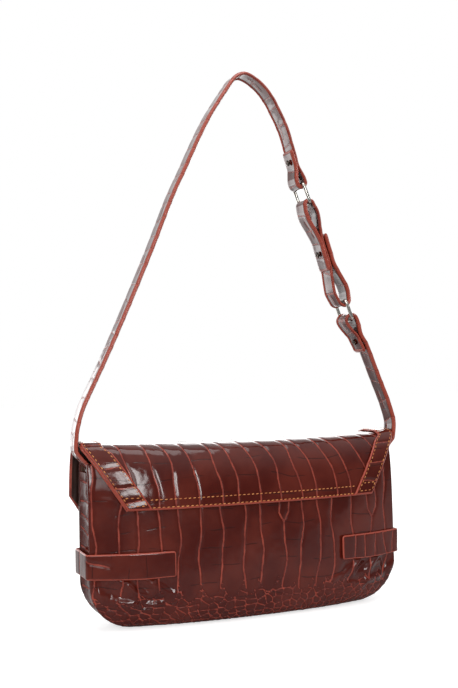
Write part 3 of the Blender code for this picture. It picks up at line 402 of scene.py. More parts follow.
croc_group, enter, leave = new_group(
    "croc_leather",
    (("Crease", FLOAT, 5.0), ("Edge", FLOAT, 9.0), ("Surface", VECTOR, None),
     ("Line Width", FLOAT, 0.85), ("Paint Width", FLOAT, 0.9), ("Paint Colour", COLOUR, PAINT)),
    (("Colour", COLOUR), ("Roughness", FLOAT), ("Height", FLOAT), ("Paint", FLOAT)))
g = Graph(croc_group)
surface = enter.outputs["Surface"]
wander = g.noise(surface, 240.0, 3.0)
ragged = g.math("MULTIPLY_ADD", wander, 0.7, -0.35)
crease = g.math("ADD", enter.outputs["Crease"], ragged)
line = g.ramp(crease, g.math("MULTIPLY", enter.outputs["Line Width"], 0.45),
              enter.outputs["Line Width"], 1.0, 0.0)
# Painted shade: within about 3 mm of each crease the scales are darkened towards DEEP, as if shaded
# where they roll down into it.
painted_crease_shade = g.ramp(enter.outputs["Crease"], 0.6, 3.2, 1.0, 0.0)
cloud = g.noise(surface, 26.0, 3.0)
tone = g.mix(g.ramp(cloud, 0.36, 0.66), DEEP, WARM)
tone = g.mix(g.math("MULTIPLY", painted_crease_shade, 0.30), tone, DEEP)
fine = g.add("ShaderNodeTexWave", wave_type="BANDS", bands_direction="Y")
for socket, number in (("Scale", 24.0), ("Distortion", 5.0), ("Detail", 2.0),
                       ("Detail Scale", 0.7)):
    fine.inputs[socket].default_value = number
g.join(surface, fine.inputs["Vector"])
hair = g.ramp(fine.outputs["Fac"], 0.986, 0.998)
hair_gate = g.ramp(g.noise(surface, 48.0, 1.0), 0.47, 0.55)
hair = g.math("MULTIPLY", hair, hair_gate)
tone = g.mix(g.math("MULTIPLY", hair, 0.65), tone, (0.020, 0.002, 0.001, 1.0))
rust = g.mix(g.ramp(g.noise(surface, 90.0, 2.0), 0.35, 0.7), CREASE, (0.19, 0.026, 0.016, 1.0))
tone = g.mix(line, tone, rust)
edge = g.math("ADD", enter.outputs["Edge"], g.math("MULTIPLY", ragged, 0.35))
paint = g.ramp(edge, g.math("MULTIPLY", enter.outputs["Paint Width"], 0.75),
               enter.outputs["Paint Width"], 1.0, 0.0)
tone = g.mix(paint, tone, enter.outputs["Paint Colour"])
g.join(tone, leave.inputs["Colour"])
gloss = g.math("MULTIPLY_ADD", cloud, 0.10, 0.07)
gloss = g.math("MULTIPLY_ADD", line, 0.30, gloss)
gloss = g.math("MULTIPLY_ADD", paint, 0.22, gloss)
g.join(gloss, leave.inputs["Roughness"])
pores = g.math("MULTIPLY", g.noise(surface, 1400.0, 1.0), 0.000012)
height = g.math("MULTIPLY_ADD", line, -0.00034, pores)
height = g.math("MULTIPLY_ADD", hair, -0.00006, height)
height = g.math("MULTIPLY_ADD", g.noise(surface, 75.0, 2.0), 0.00050, height)
g.join(height, leave.inputs["Height"])
g.join(paint, leave.inputs["Paint"])


def croc_leather(name, line_width, paint_width, specular=0.24, coat=0.22):
    """A leather material that reads the sheet's two distances and its own surface map."""
    material = bpy.data.materials.new(name)
    material.use_nodes = True
    graph = Graph(material.node_tree)
    shader = material.node_tree.nodes["Principled BSDF"]
    group = graph.add("ShaderNodeGroup", node_tree=croc_group)
    for label in ("crease", "edge"):
        reader = graph.add("ShaderNodeAttribute", attribute_name=label)
        graph.join(reader.outputs["Fac"], group.inputs[label.capitalize()])
    surface_map = graph.add("ShaderNodeUVMap", uv_map="surface")
    graph.join(surface_map.outputs[0], group.inputs["Surface"])
    group.inputs["Line Width"].default_value = line_width
    group.inputs["Paint Width"].default_value = paint_width
    graph.bump(group.outputs["Height"], 1.0, shader)
    graph.join(group.outputs["Colour"], shader.inputs["Base Color"])
    graph.join(group.outputs["Roughness"], shader.inputs["Roughness"])
    shader.inputs["IOR"].default_value = 1.5
    shader.inputs["Specular IOR Level"].default_value = specular
    shader.inputs["Coat Weight"].default_value = coat
    shader.inputs["Coat Roughness"].default_value = 0.05
    return material


print("leather group sockets:", len(croc_group.interface.items_tree))

# %% [markdown]
# ## The other finishes
# Cut edges are painted, flesh sides are suede, seams are waxed thread and fittings are metal.
# In each of them the colour drifts softly over the piece, and most have a fine bump as well.

# %% Painted edges, suede, thread and metal
def mottled(name, colour, roughness, metallic, grain, span, first, second):
    """A material whose colour drifts from first to second; grain is a noise's scale and detail."""
    material = bpy.data.materials.new(name)
    material.use_nodes = True
    shader = material.node_tree.nodes["Principled BSDF"]
    shader.inputs["Base Color"].default_value = (*colour, 1.0)
    shader.inputs["Roughness"].default_value = roughness
    shader.inputs["Metallic"].default_value = metallic
    graph = Graph(material.node_tree)
    spot = graph.add("ShaderNodeTexCoord").outputs["Object"]
    drift = graph.ramp(graph.noise(spot, *grain), *span)
    graph.join(graph.mix(drift, (*first, 1.0), (*second, 1.0)), shader.inputs["Base Color"])
    return material, graph, shader, spot


edge_paint, graph, shader, spot = mottled("edge_paint", PAINT[:3], 0.34, 0.0, (160.0, 2.0),
                                          (0.3, 0.7), PAINT[:3], (0.20, 0.026, 0.016))
graph.bump(graph.noise(spot, 900.0, 2.0), 0.00012, shader)

suede, graph, shader, spot = mottled("suede", (0.21, 0.10, 0.06), 0.9, 0.0, (60.0, 3.0),
                                     (0.3, 0.7), (0.23, 0.12, 0.075), (0.16, 0.075, 0.045))
graph.bump(graph.noise(spot, 2400.0, 3.0), 0.0003, shader)
shader.inputs["Sheen Weight"].default_value = 0.5

thread, graph, shader, spot = mottled("waxed_thread", (0.66, 0.25, 0.07), 0.5, 0.0, (420.0, 2.0),
                                      (0.35, 0.65), (0.74, 0.30, 0.085), (0.48, 0.13, 0.035))
graph.bump(graph.noise(spot, 3000.0, 1.0, (1.0, 1.0, 0.4)), 0.00015, shader)

nickel, graph, shader, spot = mottled("polished_nickel", (0.58, 0.56, 0.52), 0.14, 1.0,
                                      (110.0, 2.0), (0.35, 0.7), (0.62, 0.60, 0.56),
                                      (0.46, 0.43, 0.39))
wear = graph.noise(spot, 700.0, 3.0)
graph.join(graph.ramp(wear, 0.3, 0.75, 0.10, 0.24), shader.inputs["Roughness"])
graph.bump(wear, 0.00004, shader)

dark_metal, graph, shader, spot = mottled("blackened_metal", (0.050, 0.036, 0.030), 0.35, 1.0,
                                          (500.0, 2.0), (0.35, 0.7), (0.035, 0.026, 0.022),
                                          (0.090, 0.062, 0.048))
graph.join(graph.ramp(graph.noise(spot, 900.0, 2.0), 0.3, 0.75, 0.25, 0.45),
           shader.inputs["Roughness"])
print("materials:", len(bpy.data.materials))

# %% [markdown]
# ## Creases and scales
# A crease is a line drawn on the flat sheet before it is bent. Long creases run across the
# whole hide, wander a little, and sometimes two of them meet. Towards the base the scales
# get small and round. Every line is drawn from a seeded random walk, so each run is the same.

# %% Lines on the flat sheet
def wandering(start, end, step, sway, rng):
    """A line from start to end, in millimetres, that wanders sideways by up to sway."""
    run = Vector(end) - Vector(start)
    count = max(int(run.length / step), 2)
    side = Vector((-run.y, run.x)).normalized()
    bends = [(sway * size, 6.28 * run.length / wave, rng.uniform(0.0, 6.28))
             for size, wave in ((1.4, 62.0), (0.45, 26.0), (0.10, 9.0))]
    points = []
    for i in range(count + 1):
        share = i / count
        drift = sum(size * math.sin(turns * share + phase) for size, turns, phase in bends)
        calm = min(share, 1 - share, 0.15) / 0.15
        points.append(Vector(start) + run * share + side * drift * calm)
    return points


def long_creases(left, right, low, high, pitch, rng, forks, lean_at):
    """Near parallel creases along t, some of them forking; lean_at(s, t) bends them sideways."""
    lines = []
    s = left + pitch * rng.uniform(0.35, 0.65)
    while s < right:
        lean = rng.uniform(-2.0, 2.0)
        main = wandering((s, low), (s + lean, high), 3.0, 0.9, rng)
        if rng.random() < forks:
            cut = int(len(main) * rng.uniform(0.5, 0.72))
            lines.append(main[:cut + 1])
            knot = main[cut]
            for way in (-1, 1):
                top = (s + lean + way * pitch * 0.36, high)
                shoulder = (knot.x + way * pitch * 0.27, knot.y + 7.0)
                lines.append([knot] + wandering(shoulder, top, 3.0, 0.6, rng))
            s += pitch * rng.uniform(1.15, 1.3)
        else:
            lines.append(main)
            s += pitch * rng.uniform(0.80, 1.20)
    return [[Vector((p.x + lean_at(p.x, p.y), p.y)) for p in line] for line in lines]


def line_distance(points, lines):
    """How far each point lies from the nearest of the lines."""
    best = np.full(len(points), 99.0)
    for line in lines:
        for a, b in zip(line, line[1:]):
            a = np.array(a[:2])
            run = np.array(b[:2]) - a
            share = np.clip(((points - a) @ run) / max(run @ run, 1e-9), 0.0, 1.0)
            best = np.minimum(best, np.linalg.norm(points - a - share[:, None] * run, axis=1))
    return best


def scale_distance(points, seeds):
    """How far each point lies from the border between its two nearest seeds."""
    seeds = np.array(seeds)
    result = np.empty(len(points))
    for start in range(0, len(points), 4000):
        part = points[start:start + 4000]
        away = np.linalg.norm(part[:, None, :] - seeds[None, :, :], axis=2)
        order = np.argsort(away, axis=1)[:, :2]
        rows = np.arange(len(part))
        near = away[rows, order[:, 0]]
        far = away[rows, order[:, 1]]
        between = np.linalg.norm(seeds[order[:, 0]] - seeds[order[:, 1]], axis=1)
        result[start:start + 4000] = (far ** 2 - near ** 2) / (2 * np.maximum(between, 1e-6))
    return result


print("a first crease has", len(wandering((0, 0), (0, 90), 3.0, 0.9, random.Random(1))), "points")

# %% [markdown]
# ## From flat sheet to leather piece
# A grid is cut, its points are placed on the pillow, and the surface is pressed in along the
# creases and rounded off at the cut edge. Solidify then gives the leather its thickness, with
# the painted edge and the flesh side as materials of their own.

# %% Sheet helpers
EMBOSS_DEPTH = 0.00040
EMBOSS_REACH = 1.5
EDGE_ROUND = 0.0010


def graded(low, high, step, breaks=(), border=(0.0003, 0.0008, 0.0014)):
    """Places from low to high about a step apart, closer at both ends and exact at breaks."""
    marks = [low] + [low + b for b in border]
    stops = sorted([b for b in breaks if low + 0.003 < b < high - 0.003]) + [high - border[-1]]
    for stop in stops:
        count = max(int(round((stop - marks[-1]) / step)), 1)
        marks += [marks[-1] + (stop - marks[-1]) * (i + 1) / count for i in range(count)]
    return marks + [high - b for b in reversed(border[:-1])] + [high]


def make_sheet(name, columns, rows, place, flat, creases, edge, material, thickness,
               inner=None, outward=None, seeds=None, seed_top=None, rim=None, press=1.0):
    """A leather sheet.

    place(i, j) gives a point, flat(i, j) its place on the flat hide and edge(i, j) how far it
    lies from the cut edge, all in metres. Creases and seeds are in millimetres.
    """
    bm = bmesh.new()
    bmesh.ops.create_grid(bm, x_segments=columns - 1, y_segments=rows - 1, size=0.5)
    bm.verts.ensure_lookup_table()
    cell = [(round((v.co.x + 0.5) * (columns - 1)), round((v.co.y + 0.5) * (rows - 1)))
            for v in bm.verts]
    hide = np.array([flat(i, j) for i, j in cell]) * 1000.0
    for v, (i, j) in zip(bm.verts, cell):
        v.co = place(i, j)
    near = line_distance(hide, creases) if creases else np.full(len(cell), 9.0)
    if seeds:
        patchy = np.sin(hide[:, 0] * 0.19 + 1.0) * np.sin(hide[:, 1] * 0.31 + hide[:, 0] * 0.05)
        small = scale_distance(hide, seeds) + 0.22 + 0.10 * patchy
        below = hide[:, 1] < seed_top(hide[:, 0])
        near = np.where(below, small, np.minimum(near, np.abs(hide[:, 1] - seed_top(hide[:, 0]))))
    bm.normal_update()
    middle = outward or (lambda p: Vector((0.0, p.y, 0.0)))
    agree = sum(v.normal.dot(middle(v.co)) for v in bm.verts)
    if agree < 0:
        bmesh.ops.reverse_faces(bm, faces=bm.faces)
        bm.normal_update()
    crease_layer = bm.verts.layers.float.new("crease")
    edge_layer = bm.verts.layers.float.new("edge")
    uv_layer = bm.loops.layers.uv.new("surface")
    for v, (i, j), far, spot in zip(bm.verts, cell, near, hide):
        rim_distance = edge(i, j)
        v[crease_layer] = min(far, 9.0)
        v[edge_layer] = min(rim_distance * 1000.0, 9.0)
        sink = EMBOSS_DEPTH * press * math.exp(-(far / EMBOSS_REACH) ** 2)
        if rim_distance < EDGE_ROUND:
            short = EDGE_ROUND - rim_distance
            sink += EDGE_ROUND - math.sqrt(max(EDGE_ROUND ** 2 - short ** 2, 0.0))
        v.co = v.co - v.normal * sink
    for face in bm.faces:
        face.smooth = True
        for loop in face.loops:
            spot = hide[loop.vert.index]
            loop[uv_layer].uv = (spot[0] / 1000.0, spot[1] / 1000.0)
    piece = mesh_object(name, bm, material, rim or edge_paint, inner or material)
    wall = piece.modifiers.new("thickness", "SOLIDIFY")
    wall.thickness = thickness
    wall.offset = -1.0
    wall.material_offset_rim = 1
    wall.material_offset = 2
    soften = piece.modifiers.new("soft edge", "BEVEL")
    soften.width = 0.0003
    soften.segments = 2
    soften.limit_method = "ANGLE"
    soften.angle_limit = math.radians(50)
    return piece


def settle(piece, body, nodes):
    """Hide the solids a piece stands in for, and attach it to the body it rides on."""
    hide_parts(*nodes)
    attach(piece, body)
    print(piece.name, len(piece.data.polygons), "faces")


# %% [markdown]
# ## Back and front panels
# Each panel is one sheet from the base to just under the roof of the flap. The belts pull the
# leather into tucks at the lower corners, which catch the light as small sharp glints.

# %% Panels
BELT_LOW = 0.0365
TUCKS = (0.096, -0.099)
TUCK_FOLDS = ((0.000, -0.004, 62, 0.0150, 0.0036, 0.00270),
              (-0.010, -0.007, 38, 0.0130, 0.0032, -0.00200),
              (-0.016, -0.004, 74, 0.0120, 0.0030, 0.00240),
              (0.011, -0.008, 112, 0.0120, 0.0034, -0.00180),
              (-0.027, -0.006, 66, 0.0100, 0.0028, -0.00140),
              (0.003, -0.017, 22, 0.0130, 0.0026, 0.00230),
              (-0.018, -0.016, 10, 0.0120, 0.0024, -0.00150),
              (0.019, -0.012, 80, 0.0090, 0.0026, 0.00150),
              (-0.032, -0.012, 30, 0.0090, 0.0024, 0.00140),
              (-0.008, -0.022, 150, 0.0090, 0.0022, -0.00110))


def profile_heights(step):
    """Heights of the panel's rows, an even way apart along its curved section."""
    fine = [WAIST_HEIGHT * (1 - math.cos(math.radians(a))) for a in range(0, 91, 2)]
    fine += spread(WAIST_HEIGHT, PANEL_TOP, 60)[1:]
    arc = lengths_along([(body_depth(0.0, z), z) for z in fine])
    marks = graded(0.0, arc[-1], step)
    return marks, [float(np.interp(m, arc, fine)) for m in marks]


def tuck_press(x, z, side):
    """How far the gathered leather stands in or out below the belts."""
    press = 0.0
    for centre in TUCKS:
        centre = centre * side
        dx = (x - centre) * (1 if centre > 0 else -1)
        dz = z - BELT_LOW
        for fold_x, fold_z, slant, length, width, height in TUCK_FOLDS:
            c = math.cos(math.radians(slant))
            s = math.sin(math.radians(slant))
            along = (dx - fold_x) * c + (dz - fold_z) * s
            across = (dz - fold_z) * c - (dx - fold_x) * s + 0.0012 * math.sin(along * 260)
            press += height * math.exp(-(along / length) ** 2 - (across / width) ** 2)
    under_belt = smooth_step((BELT_LOW + 0.001 - z) / 0.005)
    return max(press * under_belt, -0.0019)


def make_panel(name, side, seed):
    rng = random.Random(seed)
    marks, heights = profile_heights(GRID_STEP)
    shares = graded(-BODY_HALF_WIDTH, BODY_HALF_WIDTH, GRID_STEP)
    low_line = 25.0

    def lean_at(at, up):
        share = smooth_step((50 - at) / 130)
        return 11.0 * share * max(1 - up / 45.0, 0.0) ** 1.5

    creases = long_creases(-145, 129, 8.0, marks[-1] * 1000, 14.5, rng, 0.22, lean_at)
    seeds = []
    t = -1.0
    while t < low_line + 12:
        size = 4.3 + 0.11 * max(t, 0)
        s = -131.0 + rng.uniform(0, size)
        while s < 131:
            seeds.append((s + rng.uniform(-1, 1) * size * 0.3,
                          t + rng.uniform(-1, 1) * size * 0.24))
            s += size * rng.uniform(1.0, 1.5)
        t += size * 0.86
    feet = sorted(line[0].x for line in creases if line[0].y < low_line)
    top_places, top_heights = [], []
    for near, far in zip([-150.0] + feet, feet + [150.0]):
        peak = low_line + 4.5 + rng.uniform(-3.0, 5.0)
        dip = low_line - 3.0 + rng.uniform(-3.0, 2.0)
        for share in (0.0, 0.12, 0.3, 0.5, 0.7, 0.88):
            top_places.append(near + (far - near) * share)
            top_heights.append(dip + (peak - dip) * abs(2 * share - 1) ** 2.2)

    def seed_top(at):
        return np.interp(at, top_places, top_heights)

    def place(i, j):
        z = heights[j]
        x = shares[i] / BODY_HALF_WIDTH * half_width(z)
        out = body_depth(x, z) - SKIN_SINK
        return Vector((x, side * (out + tuck_press(x, z, side)), z))

    def flat(i, j):
        return (shares[i] / BODY_HALF_WIDTH * half_width(heights[j]), marks[j])

    def edge(i, j):
        rim = min(BODY_HALF_WIDTH - abs(shares[i]), marks[-1] - marks[j])
        return min(rim, marks[j] + 0.0005)

    piece = make_sheet(name + "_leather", len(shares), len(marks), place, flat, creases, edge,
                       panel_leather, PANEL_THICKNESS - SKIN_SINK, seeds=seeds, seed_top=seed_top,
                       inner=suede, rim=dark_edge)
    settle(piece, "bag", (name,))
    return piece


panel_leather = croc_leather("panel_leather", 0.85, 0.0)
dark_edge = mottled("burnished_edge", (0.075, 0.012, 0.008), 0.35, 0.0, (220.0, 2.0),
                    (0.3, 0.7), (0.10, 0.016, 0.010), (0.045, 0.007, 0.004))[0]
make_panel("back_panel", 1, 11)
make_panel("front_panel", -1, 23)

# %% [markdown]
# ## The flap
# One hide covers the upper back, rolls over the top and hangs down the front. It is sewn to
# the back and folds along its front edge.

# %% Flap
def section(x, offset, start, end, samples=140):
    """Arc lengths and angles along the flap's section, from angle start to angle end."""
    angles = spread(start, end, samples)
    points = [flap_point(x, a, offset) for a in angles]
    arc = [0.0]
    for a, b in zip(points, points[1:]):
        arc.append(arc[-1] + (b - a).length)
    return angles, arc


def back_edge(x):
    return FLAP_BACK_LOW + FLAP_DIAGONAL_SLOPE * max(abs(x) - FLAP_BACK_LOW_HALF_WIDTH, 0.0)


FRONT_REACH = FLAP_HALF_WIDTH - (FLAP_FRONT_CORNER - FLAP_FRONT_LOW) / FLAP_DIAGONAL_SLOPE


def front_edge(x):
    return FLAP_FRONT_LOW + FLAP_DIAGONAL_SLOPE * max(abs(x) - FRONT_REACH, 0.0)


FLAP_MIDDLE = FIT_GAP + FLAP_THICKNESS / 2
FLAP_OUTER = FIT_GAP + FLAP_THICKNESS
flap_x = graded(-FLAP_HALF_WIDTH, FLAP_HALF_WIDTH, GRID_STEP,
                (-FRONT_REACH, -FLAP_BACK_LOW_HALF_WIDTH, FLAP_BACK_LOW_HALF_WIDTH, FRONT_REACH))
FLAP_ROWS = 150
flap_table = []
for x in flap_x:
    start = angle_at(x, FLAP_BACK_LOW, FLAP_MIDDLE, False)
    angles, arc = section(x, FLAP_MIDDLE, start, angle_at(x, front_edge(x), FLAP_MIDDLE, True))
    first = float(np.interp(angle_at(x, back_edge(x), FLAP_MIDDLE, False), angles, arc))
    marks = graded(first, arc[-1], (arc[-1] - first) / (FLAP_ROWS - 6))
    marks = [float(m) for m in np.interp(spread(0.0, 1.0, FLAP_ROWS),
                                         spread(0.0, 1.0, len(marks)), marks)]
    flap_table.append([(float(np.interp(m, arc, angles)), m, first, arc[-1]) for m in marks])

SLANT = math.cos(math.atan(FLAP_DIAGONAL_SLOPE))


def flap_place(i, j):
    return flap_point(flap_x[i], flap_table[i][j][0], FLAP_OUTER - SKIN_SINK)


def flap_edge(i, j):
    x = flap_x[i]
    _, mark, first, last = flap_table[i][j]
    low = mark - first
    if abs(x) > FLAP_BACK_LOW_HALF_WIDTH:
        low *= SLANT
    high = last - mark
    if abs(x) > FRONT_REACH:
        high *= SLANT
    return min(low, high, FLAP_HALF_WIDTH - abs(x))


flap_lining, graph, shader, spot = mottled("flap_lining", (0.030, 0.010, 0.006), 0.42, 0.0,
                                           (90.0, 3.0), (0.3, 0.7), (0.036, 0.013, 0.008),
                                           (0.020, 0.006, 0.004))
graph.bump(graph.noise(spot, 1100.0, 2.0), 0.00015, shader)
rng = random.Random(5)


def flap_lean(at, up):
    """How far the creases of the flap have drifted sideways on their way over the roof."""
    reach = 8.0 + 11.0 * smooth_step((60 - at) / 170)
    return reach * (min(max(up, 0.0), 60.0) / 52.0) ** 1.6 + max(up - 60.0, 0.0) * 0.10


flap_creases = long_creases(-162, 132, -1.0, 145.0, 14.5, rng, 0.2, flap_lean)
flap_leather = croc_leather("flap_leather", 0.80, 1.60)
flap = make_sheet("flap_leather", len(flap_x), FLAP_ROWS, flap_place,
                  lambda i, j: (flap_x[i], flap_table[i][j][1]), flap_creases, flap_edge,
                  flap_leather, FLAP_THICKNESS - SKIN_SINK, inner=flap_lining,
                  outward=lambda p: Vector((0.0, p.y, p.z - 0.06)))
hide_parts("flap_back", "flap_front")
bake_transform(flap)
print("flap faces:", len(flap.data.polygons))

# %% [markdown]
# ## Border strips of the flap
# A narrow strip of the same leather is laid over each end of the flap. On the back it follows
# the slanting edge, then it runs over the roof and down the front as one sheet. Its creases run
# across it, because it was cut that way.

# %% Border strips
TRIM_WIDTH = 0.0145
TRIM_INSET = 0.0006
TRIM_THICKNESS = 0.0016
TRIM_CORNER_SHARE = 1.19
TRIM_GAP = 0.0006
TRIM_SINK = 0.0006
TRIM_SLIMMING = 0.0007
TRIM_OUTER = FLAP_OUTER + TRIM_GAP + TRIM_THICKNESS - TRIM_SINK
strip_leather = croc_leather("strip_leather", 0.70, 1.25)


def cross_creases(width, low, high, pitch, rng, slant=2.0):
    """Creases that run across a strip, in millimetres."""
    lines = []
    t = low + pitch * rng.uniform(0.3, 0.8)
    while t < high:
        lean = rng.uniform(-slant, slant)
        lines.append(wandering((-1.0, t - lean), (width + 1.0, t + lean), 3.0, 0.35, rng))
        t += pitch * rng.uniform(0.7, 1.3)
    return lines


def strip_edge(angle, front):
    """Where a border strip's outer edge lies at a section angle, and how wide the strip is."""
    x = FLAP_HALF_WIDTH
    for _ in range(30):
        z = flap_point(x, angle, FLAP_MIDDLE)[2]
        if front:
            reach = FLAP_HALF_WIDTH - max(FLAP_FRONT_CORNER - z, 0.0) / FLAP_DIAGONAL_SLOPE
        else:
            reach = FLAP_BACK_LOW_HALF_WIDTH + (z - FLAP_BACK_LOW) / FLAP_DIAGONAL_SLOPE
        x = (x + min(reach, FLAP_HALF_WIDTH)) / 2
    slanted = smooth_step((FLAP_HALF_WIDTH - x) / 0.003)
    return x - TRIM_INSET, TRIM_WIDTH * (1 + (TRIM_CORNER_SHARE - 1) * slanted)


strip_angles, strip_arc = section(
    FLAP_HALF_WIDTH, TRIM_OUTER,
    angle_at(FLAP_BACK_LOW_HALF_WIDTH, FLAP_BACK_LOW, FLAP_MIDDLE, False),
    angle_at(FRONT_REACH, FLAP_FRONT_LOW, FLAP_MIDDLE, True), 400)
STRIP_LENGTH = strip_arc[-1]
strip_edges = [strip_edge(a, a > 90) for a in strip_angles]


def strip_point(side, share, mark, offset=TRIM_OUTER):
    """A point of a border strip: share runs from its inner to its outer edge."""
    angle = float(np.interp(mark, strip_arc, strip_angles))
    edge = float(np.interp(mark, strip_arc, [e for e, _ in strip_edges]))
    width = float(np.interp(mark, strip_arc, [w for _, w in strip_edges]))
    return flap_point(side * (edge - width * (1 - share)), angle, offset)


def make_strip(label, side, seed):
    rng = random.Random(seed)
    across = [c / TRIM_WIDTH for c in graded(0.0, TRIM_WIDTH, 0.0009)]
    along = graded(0.0, STRIP_LENGTH, 0.0010)
    creases = cross_creases(TRIM_WIDTH * 1000, 2.0, STRIP_LENGTH * 1000, 13.0, rng)

    def edge(i, j):
        rim = min(across[i], 1 - across[i]) * TRIM_WIDTH
        return min(rim, along[j], along[-1] - along[j])

    piece = make_sheet("border_strip_" + label, len(across), len(along),
                       lambda i, j: strip_point(side, across[i], along[j]),
                       lambda i, j: (across[i] * TRIM_WIDTH, along[j]), creases, edge,
                       strip_leather, TRIM_THICKNESS + TRIM_GAP - TRIM_SLIMMING,
                       outward=lambda p: Vector((0.0, p.y, p.z - 0.06)))
    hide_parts("back_trim_" + label, "front_trim_" + label)
    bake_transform(piece)
    return piece


make_strip("left", 1, 31)
make_strip("right", -1, 37)
print("border strips are", round(STRIP_LENGTH * 1000), "mm long")

# %% [markdown]
# ## Stitches
# The seams are sewn by machine with a waxed amber thread. Each stitch is a small bead, longer
# than wide, half sunk in the leather and turned a little off the seam's line, as a lockstitch
# lies. A seam is a path on the surface, and the stitches are counted off along it.

# %% Sewing along a path
STITCH_PITCH = 0.0034
STITCH_LENGTH = 0.0022
STITCH_WIDTH = 0.00072
STITCH_SINK = 0.00004
SEAM_INSET = 0.0028


def seam(surface, path):
    """Points of a seam with the surface's outward direction at each."""
    step = 0.0004
    result = []
    for u, v in path:
        spot = surface(u, v)
        across = surface(u + step, v) - surface(u - step, v)
        along = surface(u, v + step) - surface(u, v - step)
        normal = across.cross(along).normalized()
        if normal.dot(Vector((0.0, spot.y, spot.z - 0.06))) < 0:
            normal = -normal
        result.append((spot, normal))
    return result


def sew(bm, points, pitch=STITCH_PITCH):
    """Set stitches along a seam, an even way apart."""
    arc = [0.0]
    for (a, _), (b, _) in zip(points, points[1:]):
        arc.append(arc[-1] + (b - a).length)
    count = max(int(arc[-1] / pitch), 1)
    for i in range(count):
        middle = arc[-1] * (i + 0.5) / count
        k = max(k for k, a in enumerate(arc[:-1]) if a <= middle)
        share = (middle - arc[k]) / (arc[k + 1] - arc[k])
        spot = points[k][0].lerp(points[k + 1][0], share)
        normal = points[k][1].lerp(points[k + 1][1], share).normalized()
        along = (points[k + 1][0] - points[k][0]).normalized()
        across = normal.cross(along).normalized()
        along = (across.cross(normal) + across * 0.10).normalized()
        across = normal.cross(along)
        size = Matrix.Diagonal((STITCH_LENGTH / 2, STITCH_WIDTH / 2, STITCH_WIDTH * 0.42, 1.0))
        turn = Matrix((along, across, normal)).transposed().to_4x4()
        place = Matrix.Translation(spot - normal * STITCH_SINK)
        bmesh.ops.create_uvsphere(bm, u_segments=6, v_segments=5, radius=1.0,
                                  matrix=place @ turn @ size @ Matrix.Rotation(math.pi / 2, 4, "Y"))
    return count


def finish_stitches(name, bm):
    for face in bm.faces:
        face.smooth = True
    piece = mesh_object(name, bm, thread)
    return piece


def flap_height_row(height, front, reach):
    """A seam on the flap at a height above its lower edge."""
    low = FLAP_FRONT_LOW if front else FLAP_BACK_LOW

    def surface(x, z):
        return flap_point(x, angle_at(x, z, FLAP_OUTER, front), FLAP_OUTER - SKIN_SINK)
    return seam(surface, [(x, low + height) for x in spread(-reach, reach, 90)])


bm = bmesh.new()
sewn = 0
for height, reach in ((0.0026, 0.0945 - TRIM_WIDTH), (0.0080, 0.0960 - TRIM_WIDTH)):
    sewn += sew(bm, flap_height_row(height, False, reach))
    sewn += sew(bm, flap_height_row(height, True, reach + 0.008))
for side in (1, -1):
    for share in (0.14, 0.86):
        path = [(share, m) for m in spread(SEAM_INSET, STRIP_LENGTH - SEAM_INSET, 150)]
        sewn += sew(bm, seam(lambda u, v, s=side: strip_point(s, u, v), path))
    for mark in (SEAM_INSET, 0.0085, STRIP_LENGTH - SEAM_INSET):
        path = [(u, mark) for u in spread(0.17, 0.83, 8)]
        sewn += sew(bm, seam(lambda u, v, s=side: strip_point(s, u, v), path))
stitches = finish_stitches("flap_stitches", bm)
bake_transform(stitches)
print("stitches on the flap:", sewn)

# %% [markdown]
# ## Gusset and lining
# The gusset is the narrow strip between the two panels, which runs down one end, under the bag
# and up the other end. Inside stands a thin suede bag, seen only when the flap is open.

# %% Gusset
def outline_point(mark):
    """A point and outward turn on the body's outline, from the top of the +X end round."""
    side = GUSSET_TOP - CORNER_RADIUS
    bend = CORNER_RADIUS * math.pi / 2
    straight = BODY_HALF_WIDTH - CORNER_RADIUS
    half = side + bend + straight
    mirror = mark > half
    if mirror:
        mark = 2 * half - mark
    if mark < side:
        x, z, turn = BODY_HALF_WIDTH, GUSSET_TOP - mark, 0.0
    elif mark < side + bend:
        turn = (mark - side) / CORNER_RADIUS
        x = straight + CORNER_RADIUS * math.cos(turn)
        z = CORNER_RADIUS * (1 - math.sin(turn))
    else:
        x, z, turn = half - mark, 0.0, math.pi / 2
    return (-x, z, math.pi - turn) if mirror else (x, z, turn)


OUTLINE = 2 * (GUSSET_TOP - CORNER_RADIUS + CORNER_RADIUS * math.pi / 2
               + BODY_HALF_WIDTH - CORNER_RADIUS)
GUSSET_STRIP = 0.030
GUSSET_HOLLOW = 0.0009
GUSSET_LIFT = 0.0002
gusset_marks = graded(0.0, OUTLINE, 0.0014)
gusset_shares = [c / GUSSET_STRIP for c in graded(-GUSSET_STRIP / 2, GUSSET_STRIP / 2, 0.0011)]


def gusset_place(i, j):
    x, z, turn = outline_point(gusset_marks[j])
    sideways = abs(math.cos(turn))
    half = body_depth(x, z) - FIT_GAP - (PANEL_THICKNESS - 0.0001) * sideways
    hollow = GUSSET_HOLLOW * (1 - (2 * gusset_shares[i]) ** 2) * sideways
    inset = GUSSET_INSET * sideways + hollow
    return Vector((x - inset * math.cos(turn), 2 * half * gusset_shares[i], z + GUSSET_LIFT))


def gusset_edge(i, j):
    rim = (0.5 - abs(gusset_shares[i])) * GUSSET_STRIP
    return min(rim, gusset_marks[j], OUTLINE - gusset_marks[j])


